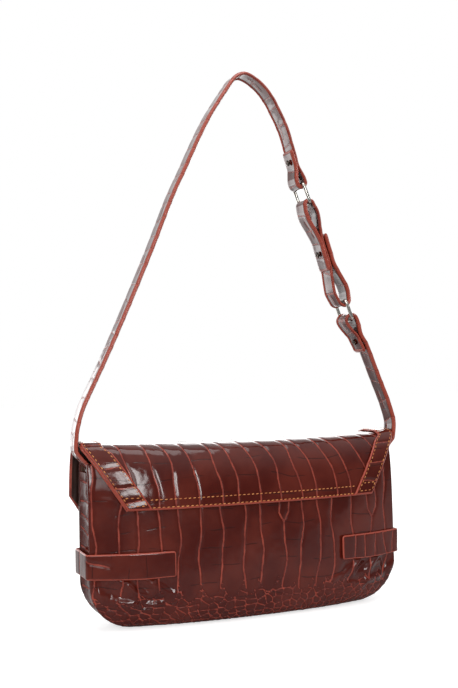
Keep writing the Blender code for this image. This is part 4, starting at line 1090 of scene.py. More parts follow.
gusset_leather = croc_leather("gusset_leather", 0.95, 0.0, 0.02, 0.0)
rng = random.Random(43)
gusset_creases = cross_creases(32.0, 3.0, OUTLINE * 1000, 12.0, rng, 3.0)
gusset_creases = [[p - Vector((16.0, 0.0)) for p in line] for line in gusset_creases]
gusset = make_sheet("gusset_leather", len(gusset_shares), len(gusset_marks), gusset_place,
                    lambda i, j: (gusset_shares[i] * GUSSET_STRIP, gusset_marks[j]), gusset_creases,
                    gusset_edge, gusset_leather, GUSSET_THICKNESS, inner=suede, rim=dark_edge,
                    outward=lambda p: Vector((p.x, 0.0, p.z - 0.07)))
settle(gusset, "bag", ("gusset",))

# %% Lining
LINING_THICKNESS = 0.0010
LINING_TOP = 0.115
STRAP_ROOT_THICKNESS = 0.0022
LINING_FLOOR = GUSSET_THICKNESS + 2 * FIT_GAP
LINING_SIDE_GAP = GUSSET_INSET + GUSSET_THICKNESS + STRAP_ROOT_THICKNESS + 4 * FIT_GAP
LINING_FACE_GAP = PANEL_THICKNESS + 4 * FIT_GAP
AROUND = 180
lining_heights = [LINING_FLOOR + WAIST_HEIGHT * (1 - math.cos(math.radians(a)))
                  for a in range(0, 91, 6)]
lining_heights += spread(lining_heights[-1], LINING_TOP, 26)[1:]


def lining_place(i, j):
    z = lining_heights[j]
    level = max(z - LINING_FLOOR, 0.0)
    reach = half_width(level) - LINING_SIDE_GAP
    turn = 2 * math.pi * i / AROUND
    share = math.copysign(abs(math.cos(turn)) ** 0.55, math.cos(turn))
    side = 1 if math.sin(turn) >= 0 else -1
    y = body_depth(share * half_width(level), level) - LINING_FACE_GAP
    pinch = min(abs(math.sin(turn)) * 9.0, 1.0)
    ripple = 0.0004 * math.sin(turn * 14 + 0.7 * math.sin(z * 160)) * pinch
    return Vector((share * reach, side * (y - 0.0004 + ripple) * (0.4 + 0.6 * pinch), z))


bm = bmesh.new()
bmesh.ops.create_grid(bm, x_segments=AROUND, y_segments=len(lining_heights) - 1, size=0.5)
for v in bm.verts:
    i = round((v.co.x + 0.5) * AROUND)
    j = round((v.co.y + 0.5) * (len(lining_heights) - 1))
    v.co = lining_place(i % AROUND, j)
bmesh.ops.remove_doubles(bm, verts=bm.verts, dist=0.00002)
floor_edges = [e for e in bm.edges if e.is_boundary
               and all(v.co.z < LINING_FLOOR + 0.0001 for v in e.verts)]
grown = bmesh.ops.extrude_edge_only(bm, edges=floor_edges)
for v in [g for g in grown["geom"] if isinstance(g, bmesh.types.BMVert)]:
    v.co = Vector((v.co.x * 0.97, 0.0, v.co.z))
bmesh.ops.remove_doubles(bm, verts=bm.verts, dist=0.00002)
bmesh.ops.recalc_face_normals(bm, faces=bm.faces)
top_face = max(bm.faces, key=lambda f: f.calc_center_median().y)
if top_face.normal.y > 0:
    bmesh.ops.reverse_faces(bm, faces=bm.faces)
for face in bm.faces:
    face.smooth = True
lining = mesh_object("suede_lining", bm, suede)
wall = lining.modifiers.new("thickness", "SOLIDIFY")
wall.thickness = LINING_THICKNESS
wall.offset = 1.0
settle(lining, "bag", ("lining",))

# %% [markdown]
# ## Side belts
# A belt is sewn on each end of the bag. It starts flat on the back, runs round the end and
# meets the other belt on the front, where a small buckle joins them. Each belt is one sheet
# whose grid follows the body, so its face bends with the leather under it.

# %% Route of a belt
BELT_WIDTH = 0.018
BELT_THICKNESS = 0.0022
BELT_CORNER = 0.0020
BELT_TIP_SHARE = 0.62
BELT_HOLES = (0.0085, 0.0190, 0.0295)
BELT_HOLE_RADIUS = 0.0011
BELT_LEFT_BACK_END = 0.0630
BELT_RIGHT_BACK_END = 0.0685
BELT_TIP_END = 0.052
BELT_LIFT_START = 0.078
BELT_LIFT_LENGTH = 0.018
BELT_STEP_START = -0.0125
BELT_STEP_LENGTH = 0.0170
BELT_DROP_START = 0.009
BELT_DROP_LENGTH = 0.024
BELT_FOLD_START = 0.0115
BELT_FOLD_LENGTH = 0.0130
BELT_FOLD_RUN_IN = 0.004
BELT_MIDDLE = BELT_LOW + BELT_WIDTH / 2
BUCKLE_PIN_X = 0.0075
BUCKLE_BAR_X = -0.0140
BUCKLE_WIRE = 0.0015
BUCKLE_CORNER = 0.0022
BUCKLE_SIDE_CLEARANCE = 0.0012
KEEPER_X = 0.038
KEEPER_WIDTH = 0.008
KEEPER_THICKNESS = 0.0012
KEEPER_CLEARANCE = 0.0006
KEEPER_CORNER = 0.0017
KEEPER_SLIMMING = 0.0004
KEEPER_BACK_SHARE = 0.5
KEEPER_ROUND = 0.062
BELT_SWAY_FROM = 0.066
BELT_TIP_LENGTH = 0.007
EYE_HALF_SIZE = (0.0063, 0.0046, 0.0016)
PRONG_HOLE_X = -0.0018
PRONG_HOLE_HALF_SIZE = (0.0045, 0.0014)
FRONT_REST = 2 * FIT_GAP + KEEPER_THICKNESS
BAR_HEIGHT = FRONT_REST + BELT_THICKNESS + FIT_GAP + BUCKLE_WIRE


def plan_normal(x, z):
    """The direction straight out of the body's back face, in plan."""
    step = 0.0005
    inner = max(x - step, 0.0)
    slope = (body_depth(x, z) - body_depth(inner, z)) / (x - inner)
    length = math.hypot(slope, 1.0)
    return (-slope / length, 1.0 / length)


def belt_rest(x, y):
    if y > 0:
        return FIT_GAP
    share = smooth_step((BELT_LIFT_START - abs(x)) / BELT_LIFT_LENGTH)
    return FIT_GAP + share * (KEEPER_THICKNESS + FIT_GAP)


def tip_height(x):
    """How far the belt's tip stands off: under the outer bar, then over the other belt's fold."""
    over_fold = BAR_HEIGHT + BUCKLE_WIRE + 2 * FIT_GAP + BELT_THICKNESS
    on_belt = FRONT_REST + BELT_THICKNESS + FIT_GAP
    up = smooth_step((x - BELT_STEP_START) / BELT_STEP_LENGTH)
    down = smooth_step((x - BELT_DROP_START) / BELT_DROP_LENGTH)
    return (over_fold - FRONT_REST) * up - (over_fold - on_belt) * down


def belt_route(z, back_end, front_end, lift):
    """The belt's outer face round the +X end at one height, as points in plan."""
    reach = half_width(z)
    depth = body_depth(reach, z)
    out = plan_normal(reach, z)
    tilt = math.atan2(out[1], out[0])
    stops = [(x, body_depth(x, z), plan_normal(x, z)) for x in spread(back_end, reach, 60)[:-1]]
    stops += [(reach, depth, (math.cos(t), math.sin(t))) for t in spread(tilt, 0.0, 6)]
    stops += [(reach, y, (1.0, 0.0)) for y in spread(depth, -depth, 24)[1:-1]]
    stops += [(reach, -depth, (math.cos(t), math.sin(t))) for t in spread(0.0, -tilt, 6)]
    for x in spread(reach, front_end, 150)[1:]:
        normal = plan_normal(abs(x), z) if abs(x) > 0.001 else (0.0, 1.0)
        side = 1 if x >= 0 else -1
        stops.append((x, -body_depth(x, z), (side * normal[0], -normal[1])))
    route = []
    for x, y, n in stops:
        rest = belt_rest(x, y) + BELT_THICKNESS + (lift(-x) if y < 0 else 0.0)
        route.append((x + n[0] * rest, y + n[1] * rest))
    return route


def fold_route(base):
    """The outer face of the belt's fold round the pin bar, and of the end that lies on top."""
    radius = BUCKLE_WIRE + FIT_GAP + BELT_THICKNESS / 2
    layer = FRONT_REST + BELT_THICKNESS / 2
    line = [(BUCKLE_PIN_X + BELT_FOLD_RUN_IN, layer)]
    for turn in spread(-90.0, -270.0, 19):
        angle = math.radians(turn)
        line.append((BUCKLE_PIN_X + radius * math.cos(angle),
                     BAR_HEIGHT + radius * math.sin(angle)))
    over = layer + BELT_THICKNESS + FIT_GAP
    for t in spread(0.0, 1.0, 14)[1:]:
        line.append((BUCKLE_PIN_X + t * BELT_FOLD_LENGTH,
                     BAR_HEIGHT + radius + (over - BAR_HEIGHT - radius) * smooth_step(t)))
    route = []
    for i, spot in enumerate(line):
        a = line[max(i - 1, 0)]
        b = line[min(i + 1, len(line) - 1)]
        run = (b[0] - a[0], b[1] - a[1])
        length = math.hypot(*run) / (BELT_THICKNESS / 2)
        route.append((spot[0] + run[1] / length, base - (spot[1] - run[0] / length)))
    return route


print("belt stands", round(FRONT_REST * 1000, 1), "mm off the front panel")

# %% Belts
belt_leather = croc_leather("belt_leather", 0.80, 1.05)


def cut_faces(bm, inside):
    """Take out the faces whose middle lies inside an opening."""
    doomed = [f for f in bm.faces if inside(f.calc_center_median())]
    bmesh.ops.delete(bm, geom=doomed, context="FACES")


def reshape(piece, change):
    bm = bmesh.new()
    bm.from_mesh(piece.data)
    change(bm)
    bm.to_mesh(piece.data)
    bm.free()


def make_belt(name, side, back_end, front_end, lift, fold, tip_share, seed, pitch, first):
    rng = random.Random(seed)
    heights = graded(0.0, BELT_WIDTH, 0.00095)
    routes = []
    for h in heights:
        z = BELT_LOW + h
        route = belt_route(z, back_end, front_end, lift)
        if fold:
            route = route + fold_route(-body_depth(BUCKLE_PIN_X, BELT_MIDDLE))
        routes.append(route)
    arc = lengths_along(routes[len(routes) // 2])
    length = arc[-1]
    marks = graded(0.0, length, 0.0011)
    places = np.interp(marks, arc, range(len(arc)))
    waves = [(rng.uniform(40, 110), rng.uniform(0, 6)) for _ in range(3)]

    def place(i, j):
        k = min(int(places[j]), len(arc) - 2)
        share = places[j] - k
        a, b = routes[i][k], routes[i][k + 1]
        x = a[0] + (b[0] - a[0]) * share
        y = a[1] + (b[1] - a[1]) * share
        near = min(marks[j], 9.0 if fold or tip_share < 1 else length - marks[j])
        half = BELT_WIDTH / 2
        if near < BELT_CORNER:
            half -= BELT_CORNER - math.sqrt(BELT_CORNER ** 2 - (BELT_CORNER - near) ** 2)
        if tip_share < 1 and length - marks[j] < BELT_TIP_LENGTH:
            run = (length - marks[j]) / BELT_TIP_LENGTH
            half *= tip_share + (1 - tip_share) * math.sqrt(max(1 - (1 - run) ** 2, 0.0))
        across = heights[i] / BELT_WIDTH * 2 - 1
        sway = sum(math.sin(marks[j] * f + p) for f, p in waves) * 0.00018
        drift = sway * smooth_step((abs(x) - BELT_SWAY_FROM) / 0.02)
        return Vector((side * x, y, BELT_MIDDLE + across * half + drift * (1 - 0.6 * across)))

    def edge(i, j):
        rim = min(heights[i], BELT_WIDTH - heights[i])
        return min(rim, marks[j], length - marks[j])

    creases = cross_creases(BELT_WIDTH * 1000, first, length * 1000, pitch, rng, 2.5)
    if first > 20:
        creases.append(wandering((13.5, 64.0), (9.0, 47.0), 3.0, 0.4, rng))
    return make_sheet(name, len(heights), len(marks), place,
                      lambda i, j: (heights[i], marks[j]), creases, edge, belt_leather,
                      BELT_THICKNESS, inner=suede,
                      outward=lambda p: Vector((p.x * 0.4, p.y, 0.0)))


left_belt = make_belt("left_belt", 1, BELT_LEFT_BACK_END, BELT_FOLD_START, lambda x: 0.0, True,
                      1.0, 51, 22.0, 66.0)
eye = Vector((BUCKLE_PIN_X - 0.001, -body_depth(BUCKLE_PIN_X, BELT_MIDDLE) - BAR_HEIGHT,
              BELT_MIDDLE))


def fold_opening(p):
    return all(abs(p[axis] - eye[axis]) < EYE_HALF_SIZE[axis] for axis in range(3))


reshape(left_belt, lambda bm: cut_faces(bm, fold_opening))
settle(left_belt, "bag", ("belt_left",))
right_belt = make_belt("right_belt", -1, BELT_RIGHT_BACK_END, -BELT_TIP_END, tip_height, False,
                       BELT_TIP_SHARE, 57, 9.5, 4.0)


def belt_opening(p):
    if p.y > 0:
        return False
    off = p.z - BELT_MIDDLE
    if abs(p.x - PRONG_HOLE_X) < PRONG_HOLE_HALF_SIZE[0] and abs(off) < PRONG_HOLE_HALF_SIZE[1]:
        return True
    return any((p.x - x) ** 2 + off ** 2 < BELT_HOLE_RADIUS ** 2 for x in BELT_HOLES)


reshape(right_belt, lambda bm: cut_faces(bm, belt_opening))
settle(right_belt, "bag", ("belt_right",))

# %% [markdown]
# ## Keeper
# A small loop holds the belt's tip down and slides along it. Its hidden back run passes
# between belt and bag, where there is little room, so the whole loop is thinner than its
# solid.

# %% Keeper
def keeper_place(turn_share, across):
    """A point of the keeper's outer face, round both layers of the belt."""
    slope = plan_normal(KEEPER_X, BELT_MIDDLE)
    low = FIT_GAP * KEEPER_BACK_SHARE
    high = FRONT_REST + 2 * BELT_THICKNESS + FIT_GAP + KEEPER_CLEARANCE + KEEPER_THICKNESS
    half_out = (high - low) / 2
    half_tall = BELT_WIDTH / 2 + KEEPER_CLEARANCE + KEEPER_THICKNESS
    sides = []
    for sa, sb, first in ((-1, 1, 90), (-1, -1, 180), (1, -1, 270), (1, 1, 0)):
        for t in range(0, 91, 15):
            turn = math.radians(first + t)
            sides.append((sa * (half_out - KEEPER_CORNER) + KEEPER_CORNER * math.cos(turn),
                          sb * (half_tall - KEEPER_CORNER) + KEEPER_CORNER * math.sin(turn)))
    start = (-half_out, 0.0)
    sides = [start] + sides[7:] + sides[:7] + [start]
    arc = lengths_along(sides)
    a = float(np.interp(turn_share * arc[-1], arc, [s[0] for s in sides]))
    b = float(np.interp(turn_share * arc[-1], arc, [s[1] for s in sides]))
    out = (low + high) / 2 + a
    along = across * KEEPER_WIDTH
    z = BELT_MIDDLE + b
    return Vector((KEEPER_X + slope[0] * out + slope[1] * along,
                   -body_depth(KEEPER_X, z) - slope[1] * out + slope[0] * along, z))


keeper_marks = spread(0.0, 1.0, 90)
keeper_shares = [c / KEEPER_WIDTH - 0.5 for c in graded(0.0, KEEPER_WIDTH, 0.0007)]
keeper_middle = sum((keeper_place(t, 0.0) for t in keeper_marks), Vector()) / 90
keeper = make_sheet("keeper_loop", len(keeper_shares), 90,
                    lambda i, j: keeper_place(keeper_marks[j], keeper_shares[i]),
                    lambda i, j: (keeper_shares[i] * KEEPER_WIDTH, keeper_marks[j] * KEEPER_ROUND),
                    cross_creases(8.0, 2.0, 60.0, 11.0, random.Random(61)),
                    lambda i, j: (0.5 - abs(keeper_shares[i])) * KEEPER_WIDTH,
                    belt_leather, KEEPER_THICKNESS - KEEPER_SLIMMING, inner=suede)
if sum(f.normal.dot(f.center - keeper_middle) for f in keeper.data.polygons) < 0:
    reshape(keeper, lambda bm: bmesh.ops.reverse_faces(bm, faces=bm.faces))
settle(keeper, "keeper", ("belt_keeper",))

# %% [markdown]
# ## Metal: buckle, rings, rivets and snap
# The metal is polished nickel, apart from the rivets' backs, which are blackened. The buckle
# and both rings are bent from round wire, so a curve with a round bevel makes them. A rivet is
# turned: its profile is spun round its axis.

# %% Wire and turned pieces
def wire_piece(name, points, radius, closed, material=nickel):
    """A smooth round wire along points, made a mesh at once."""
    curve = bpy.data.curves.new(name, "CURVE")
    curve.dimensions = "3D"
    curve.bevel_depth = radius
    curve.bevel_resolution = 5
    curve.use_fill_caps = True
    line = curve.splines.new("POLY")
    line.points.add(len(points) - 1)
    for point, spot in zip(line.points, points):
        point.co = (*spot, 1.0)
    line.use_cyclic_u = closed
    model = add_object(name, curve)
    bpy.context.view_layer.update()
    depsgraph = bpy.context.evaluated_depsgraph_get()
    mesh = bpy.data.meshes.new_from_object(model.evaluated_get(depsgraph))
    bpy.data.objects.remove(model)
    for face in mesh.polygons:
        face.use_smooth = True
    mesh.materials.clear()
    mesh.materials.append(material)
    return add_object(name, mesh)


def frame_points(centre, axis_a, axis_b, half_a, half_b, corner):
    """Points round a rectangle with round corners, in the plane of two axes."""
    points = []
    for quarter, (sa, sb) in enumerate(((1, 1), (-1, 1), (-1, -1), (1, -1))):
        for i in range(11):
            turn = math.radians(90 * (quarter + i / 10))
            a = sa * (half_a - corner) + corner * math.cos(turn)
            b = sb * (half_b - corner) + corner * math.sin(turn)
            points.append(Vector(centre) + Vector(axis_a) * a + Vector(axis_b) * b)
    return points


def turned_piece(name, profile, place, direction, material=nickel, steps=28):
    """A profile of (radius, height) pairs spun round an axis through place."""
    bm = bmesh.new()
    dots = [bm.verts.new((radius, 0.0, high)) for radius, high in profile]
    lines = [bm.edges.new(pair) for pair in zip(dots, dots[1:])]
    bmesh.ops.spin(bm, geom=dots + lines, cent=(0, 0, 0), axis=(0, 0, 1), dvec=(0, 0, 0),
                   angle=2 * math.pi, steps=steps, use_merge=True)
    bmesh.ops.remove_doubles(bm, verts=bm.verts, dist=0.000005)
    bmesh.ops.recalc_face_normals(bm, faces=bm.faces)
    turn = Vector(direction).to_track_quat("Z", "Y").to_matrix().to_4x4()
    bm.transform(Matrix.Translation(place) @ turn)
    for face in bm.faces:
        face.smooth = True
    return mesh_object(name, bm, material)


buckle_y = -body_depth(BUCKLE_PIN_X, BELT_MIDDLE) - BAR_HEIGHT
buckle = wire_piece("buckle_wire", frame_points(
    ((BUCKLE_PIN_X + BUCKLE_BAR_X) / 2, buckle_y, BELT_MIDDLE), (1, 0, 0), (0, 0, 1),
    (BUCKLE_PIN_X - BUCKLE_BAR_X) / 2, BELT_WIDTH / 2 + BUCKLE_SIDE_CLEARANCE + BUCKLE_WIRE,
    BUCKLE_CORNER), BUCKLE_WIRE, True)
settle(buckle, "bag", ("buckle_frame",))

PRONG_RADIUS = 0.0009
eye_radius = BUCKLE_WIRE + 0.0003 + PRONG_RADIUS
prong_line = []
for turn in spread(190.0, 450.0, 40):
    angle = math.radians(turn)
    prong_line.append((eye_radius * math.cos(angle), eye_radius * math.sin(angle)))
prong_rest = BUCKLE_WIRE + FIT_GAP + PRONG_RADIUS
for share in spread(0.06, 1.12, 18):
    rise = eye_radius + (prong_rest - eye_radius) * min(share, 1.0)
    prong_line.append((-(BUCKLE_PIN_X - BUCKLE_BAR_X) * share, rise))
prong = wire_piece("buckle_tongue", [(BUCKLE_PIN_X + a, buckle_y - b, BELT_MIDDLE)
                                     for a, b in prong_line], PRONG_RADIUS, False)
settle(prong, "bag", ("buckle_prong",))
for name in ("snap_socket", "snap_stud", "snap_washer"):
    bpy.data.objects[name].material_slots[0].material = nickel

# %% [markdown]
# ## Shoulder strap
# The strap is one long strip that comes up out of the bag's end, arches over and is folded
# round the first ring. A short strip comes up from the other end to the second ring, and a
# link folded into an S joins the rings. The route is a smooth curve through a few
# points, and each strip is a sheet that follows it, glossy on both faces.

# %% Route of the strap
STRAP_WIDTH = 0.014
STRAP_THICKNESS = 0.0024
STRAP_ROOT_WIDTH = 0.0125
STRAP_TAPER_LENGTH = 0.045
STRAP_DOME = 0.00025
STRAP_SLIMMING = 0.0003
STRAP_ROOT_LOW = 0.092
STRAP_PIVOT_Z = 0.127
STRAP_PIVOT_X = 0.1283
STRAP_REACH = 0.1290
STRAP_PEAK = 0.4065
STRAP_CLEAR_SHARE = 1.25
ARCH_LEFT = ((-0.047, 1.0), (0.010, 0.987), (0.062, 0.955), (0.116, 0.918), (0.178, 0.873),
             (0.248, 0.812), (0.333, 0.730), (0.419, 0.648), (0.535, 0.519), (0.682, 0.365),
             (0.814, 0.233), (0.930, 0.125), (0.969, 0.079), (0.988, 0.040))
ARCH_RIGHT = ((0.047, 1.0), (0.105, 0.993), (0.169, 0.973), (0.229, 0.942), (0.276, 0.904),
              (0.324, 0.858), (0.362, 0.812), (0.388, 0.770), (0.443, 0.680), (0.712, 0.355),
              (0.800, 0.281), (0.857, 0.218), (0.908, 0.158), (0.950, 0.112), (0.981, 0.072),
              (1.000, 0.036))
UPPER_RING_Z = 0.317
LOWER_RING_Z = 0.2265
LAYER_GAP = 0.0004
LOOP_INNER_RADIUS = 0.0030
LOOP_LENGTH = 0.0135
FOLD_BACK_LENGTH = 0.026
RIVET_SETBACK = 0.0185
LINK_LAP = 0.0125
LINK_SWELL = 1.25
LINK_SWELL_PLACE = 2.2
LONG_END_LEAN = -5.0
SHORT_END_LEAN = 8.0
RING_WIRE = 0.0014
RING_CORNER = 0.0028
RING_INNER_LENGTH = 0.0130
RING_SIDE_CLEARANCE = 0.0007
LOOP_SEAT_GAP = 0.0004
LOOP_FREE_GAP = 0.0008
FOLD_LAYER = (STRAP_THICKNESS + LAYER_GAP) / 2
FINE_STEP = 0.0013


def smooth_route(points, step=FINE_STEP):
    """A smooth curve through a flat list of points, cut into short steps."""
    padded = [points[0]] + list(points) + [points[-1]]
    route = []
    for p0, p1, p2, p3 in zip(padded, padded[1:], padded[2:], padded[3:]):
        count = max(int(math.dist(p1, p2) / step + 0.5), 2)
        for i in range(count):
            t = i / count
            route.append(tuple(
                0.5 * (2 * b + (c - a) * t + (2 * a - 5 * b + 4 * c - d) * t * t
                       + (3 * b - a - 3 * c + d) * t ** 3)
                for a, b, c, d in zip(p0, p1, p2, p3)))
    route.append(tuple(points[-1]))
    return route


def arch_leg(shape):
    return [(STRAP_REACH * x, STRAP_PIVOT_Z + (STRAP_PEAK - STRAP_PIVOT_Z) * z)
            for x, z in shape] + [(STRAP_PIVOT_X, STRAP_PIVOT_Z)]


def arch_at(height):
    """How far the ringed leg stands from the middle at a height."""
    route = smooth_route(arch_leg(ARCH_RIGHT), 0.003)
    for a, b in zip(route, route[1:]):
        if a[1] >= height >= b[1]:
            return a[0] + (b[0] - a[0]) * (a[1] - height) / (a[1] - b[1])
    return STRAP_PIVOT_X


class Line:
    """A direction down the strap, with the direction out of its outer face."""

    def __init__(self, down):
        self.down = down
        self.out = (down[1], -down[0])

    def at(self, base, along, out=0.0):
        return (base[0] + self.down[0] * along + self.out[0] * out,
                base[1] + self.down[1] * along + self.out[1] * out)

    def leaning(self, degrees):
        c = math.cos(math.radians(degrees))
        s = math.sin(math.radians(degrees))
        return Line((self.down[0] * c + self.out[0] * s, self.down[1] * c + self.out[1] * s))


ring_tops = [(-arch_at(z), z) for z in (UPPER_RING_Z, LOWER_RING_Z)]
chain_run = Vector(ring_tops[1]) - Vector(ring_tops[0])
chain = Line(tuple(chain_run.normalized()))
ring_middles = [chain.at(spot, 0.0, -FOLD_LAYER) for spot in ring_tops]
half_ring = (RING_INNER_LENGTH + 2 * RING_WIRE) / 2
bars = [chain.at(ring_middles[0], -half_ring), chain.at(ring_middles[0], half_ring),
        chain.at(ring_middles[1], -half_ring), chain.at(ring_middles[1], half_ring)]
long_end = chain.leaning(LONG_END_LEAN)
short_end = chain.leaning(SHORT_END_LEAN)


def loop_route(line, bar, towards, free_gap):
    """A strap's turn round a ring's bar, down its outer side and back up its inner side."""
    radius = LOOP_INNER_RADIUS + STRAP_THICKNESS / 2
    seat = towards * (LOOP_INNER_RADIUS - RING_WIRE - free_gap)
    points = [(towards * FOLD_BACK_LENGTH, FOLD_LAYER), (towards * RIVET_SETBACK, FOLD_LAYER),
              (towards * LOOP_LENGTH, FOLD_LAYER), (towards * LOOP_LENGTH * 0.4, radius * 0.86)]
    for i in range(9):
        turn = math.radians(180 * i / 8)
        points.append((seat - towards * radius * math.sin(turn), radius * math.cos(turn)))
    points += [(along, -out) for along, out in reversed(points[:4])]
    return [line.at(bar, along, out) for along, out in points]


def root_points():
    """The stitched-in end: straight inside the gusset, then leaning out past the flap's end."""
    x = BODY_HALF_WIDTH - GUSSET_INSET - GUSSET_THICKNESS - FIT_GAP - STRAP_ROOT_THICKNESS / 2
    rise = STRAP_PIVOT_Z - GUSSET_TOP
    lean = STRAP_PIVOT_X - x
    turns = ((0.12, 0.24), (0.58, 0.58), (0.92, 0.84))
    bend = [(x + lean * across, GUSSET_TOP + rise * up) for across, up in turns]
    return [(x, STRAP_ROOT_LOW), (x, GUSSET_TOP - 0.001)] + bend


right_leg = arch_leg(ARCH_RIGHT)
left_leg = arch_leg(ARCH_LEFT)
above = bars[0][1] + FOLD_BACK_LENGTH * STRAP_CLEAR_SHARE
below = bars[3][1] - FOLD_BACK_LENGTH * STRAP_CLEAR_SHARE
long_route = smooth_route(root_points() + list(reversed(left_leg))
                          + [(-x, z) for x, z in right_leg[1:] if z > above]
                          + loop_route(long_end, bars[0], -1, LOOP_SEAT_GAP))
short_route = smooth_route([(-x, z) for x, z in root_points()]
                           + [(-x, z) for x, z in reversed(right_leg) if z < below]
                           + loop_route(short_end, bars[3], 1, LOOP_FREE_GAP))


def link_route():
    """The link: an S whose two loops hold the rings, three layers deep at its middle."""
    layer = STRAP_THICKNESS + LAYER_GAP
    half = math.dist(bars[1], bars[2]) / 2
    tilt = math.asin(layer / 2 / half)
    radius = LOOP_INNER_RADIUS + STRAP_THICKNESS / 2
    seat = half - (LOOP_INNER_RADIUS - RING_WIRE - LOOP_SEAT_GAP)
    swell = radius * LINK_SWELL
    upper = [(-LINK_LAP, -layer * 1.15), (0.0, -layer), (LINK_LAP * 0.9, -layer * 0.95),
             (seat - radius * LINK_SWELL_PLACE, -layer / 2 - swell)]
    for i in range(9):
        turn = math.radians(180 * i / 8)
        upper.append((seat + radius * math.sin(turn), -layer / 2 - radius * math.cos(turn)))
    upper += [(seat - radius * LINK_SWELL_PLACE, -layer / 2 + swell),
              (LINK_LAP * 0.9, layer * 0.12), (0.0, 0.0)]
    points = upper + [(-along, -out) for along, out in reversed(upper[:-1])]
    centre = ((bars[1][0] + bars[2][0]) / 2, (bars[1][1] + bars[2][1]) / 2)
    c = math.cos(tilt)
    s = math.sin(tilt)
    return centre, smooth_route([chain.at(centre, -(a * c - b * s), a * s + b * c)
                                 for a, b in points])


print("long strap route has", len(long_route), "points")

# %% Strap strips
strap_leather = croc_leather("strap_leather", 0.95, 1.0, 0.30, 0.35)


def strap_width(z):
    share = (z - GUSSET_TOP) / STRAP_TAPER_LENGTH
    return STRAP_ROOT_WIDTH + (STRAP_WIDTH - STRAP_ROOT_WIDTH) * smooth_step(share)


def make_strap(name, route, width_at, seed, pitch):
    """A strip of leather along a route in the XZ plane, its width across the bag."""
    rng = random.Random(seed)
    arc = lengths_along(route)
    marks = graded(0.0, arc[-1], FINE_STEP)
    xs = np.interp(marks, arc, [p[0] for p in route])
    zs = np.interp(marks, arc, [p[1] for p in route])
    outs = []
    for j in range(len(marks)):
        a = max(j - 1, 0)
        b = min(j + 1, len(marks) - 1)
        run = Vector((xs[b] - xs[a], 0.0, zs[b] - zs[a])).normalized()
        outs.append(Vector((-run.z, 0.0, run.x)))
    across = graded(0.0, STRAP_WIDTH, 0.0009)

    def place(i, j):
        share = across[i] / STRAP_WIDTH - 0.5
        dome = STRAP_DOME * (1 - (2 * share) ** 2)
        spot = Vector((xs[j], share * width_at(zs[j]), zs[j]))
        return spot + outs[j] * (STRAP_THICKNESS / 2 - SKIN_SINK + dome)

    def edge(i, j):
        rim = min(across[i], STRAP_WIDTH - across[i])
        return min(rim, marks[j], marks[-1] - marks[j])

    creases = cross_creases(STRAP_WIDTH * 1000, 4.0, marks[-1] * 1000, pitch, rng, 3.0)
    for t in range(30, int(marks[-1] * 1000) - 30, 37):
        start = (rng.uniform(3, 11), t + rng.uniform(-8, 8))
        creases.append(wandering(start, (start[0] + rng.uniform(-3, 3), start[1] + 14.0), 3.0, 0.4,
                                 rng))
    piece = make_sheet(name, len(across), len(marks), place,
                       lambda i, j: (across[i], marks[j]), creases, edge, strap_leather,
                       STRAP_THICKNESS - STRAP_SLIMMING,
                       outward=lambda p: Vector((0.0, 0.0, 0.0)), press=0.5)
    face = piece.data.polygons[(len(marks) // 3) * (len(across) - 1)]
    if face.normal.dot(outs[len(marks) // 3]) < 0:
        reshape(piece, lambda bm: bmesh.ops.reverse_faces(bm, faces=bm.faces))
    return piece


long_strap = make_strap("long_strap", long_route, strap_width, 71, 13.0)
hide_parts("strap_long", "strap_root_left")
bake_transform(long_strap)
short_strap = make_strap("short_strap", short_route, strap_width, 73, 13.0)
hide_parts("strap_short", "strap_root_right")
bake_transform(short_strap)
link_middle, link_line = link_route()
link = make_strap("figure_eight_link", link_line, lambda z: STRAP_WIDTH, 79, 14.0)
settle(link, "link", ("strap_link",))

# %% [markdown]
# ## Rings and rivets
# Each ring lies in a strap's loop and in one of the link's. A rivet closes each strap's fold,
# and one through the link's middle closes both of its folds.

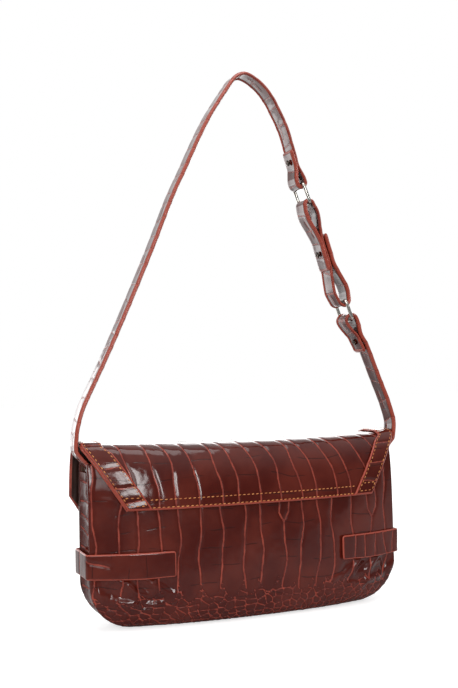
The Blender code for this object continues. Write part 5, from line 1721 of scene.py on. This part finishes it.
# %% Rings and rivets
RIVET_HEAD_RADIUS = 0.0031
RIVET_HEAD_HEIGHT = 0.0015
RIVET_POST_RADIUS = 0.0015
RIVET_CAP_RADIUS = 0.0024
RIVET_GAP = 0.0003
RIVET_SINK = 0.0002
RIVET_CAP_PROFILE = ((0.0, 0.0), (0.96, 0.0), (1.0, 0.0002), (1.0, 0.0005), (0.86, 0.0009),
                     (0.5, 0.0011), (0.4, 0.0009), (0.0, 0.0008))
across_axis = (0.0, 1.0, 0.0)
down_axis = (chain.down[0], 0.0, chain.down[1])
for label, middle in zip(("upper", "lower"), ring_middles):
    ring = wire_piece("ring_wire_" + label, frame_points(
        (middle[0], 0.0, middle[1]), across_axis, down_axis,
        STRAP_WIDTH / 2 + RING_SIDE_CLEARANCE + RING_WIRE, RING_INNER_LENGTH / 2 + RING_WIRE,
        RING_CORNER), RING_WIRE, True)
    settle(ring, "ring_" + label, ("ring_" + label,))

layer = STRAP_THICKNESS + LAYER_GAP
link_tilt = math.degrees(math.asin(layer / math.dist(bars[1], bars[2])))
rivet_seats = (("upper", long_end.at(bars[0], -RIVET_SETBACK), long_end.out, layer, "strap"),
               ("middle", link_middle, chain.leaning(-link_tilt).out, layer * 1.5, "link"),
               ("lower", short_end.at(bars[3], RIVET_SETBACK), short_end.out, layer, "strap"))
for label, spot, out, reach, body in rivet_seats:
    face = reach + RIVET_GAP - RIVET_SINK
    r = RIVET_HEAD_RADIUS
    h = RIVET_HEAD_HEIGHT
    dome = [(0.0, -face), (RIVET_POST_RADIUS, -face), (RIVET_POST_RADIUS, face), (r * 0.96, face),
            (r, face + h * 0.15), (r, face + h * 0.32)]
    dome += [(r * math.cos(math.radians(t)), face + h * (0.32 + 0.68 * math.sin(math.radians(t))))
             for t in range(15, 90, 15)] + [(0.0, face + h)]
    head = turned_piece("rivet_dome_" + label, dome, (spot[0], 0.0, spot[1]), (out[0], 0.0, out[1]))
    settle(head, body, ("rivet_" + label,))
    low = -face - RIVET_GAP
    cap = [(RIVET_CAP_RADIUS * share, low - deep) for share, deep in RIVET_CAP_PROFILE]
    back = turned_piece("rivet_back_" + label, cap, (spot[0], 0.0, spot[1]),
                        (out[0], 0.0, out[1]), dark_metal)
    settle(back, body, ("rivet_cap_" + label,))
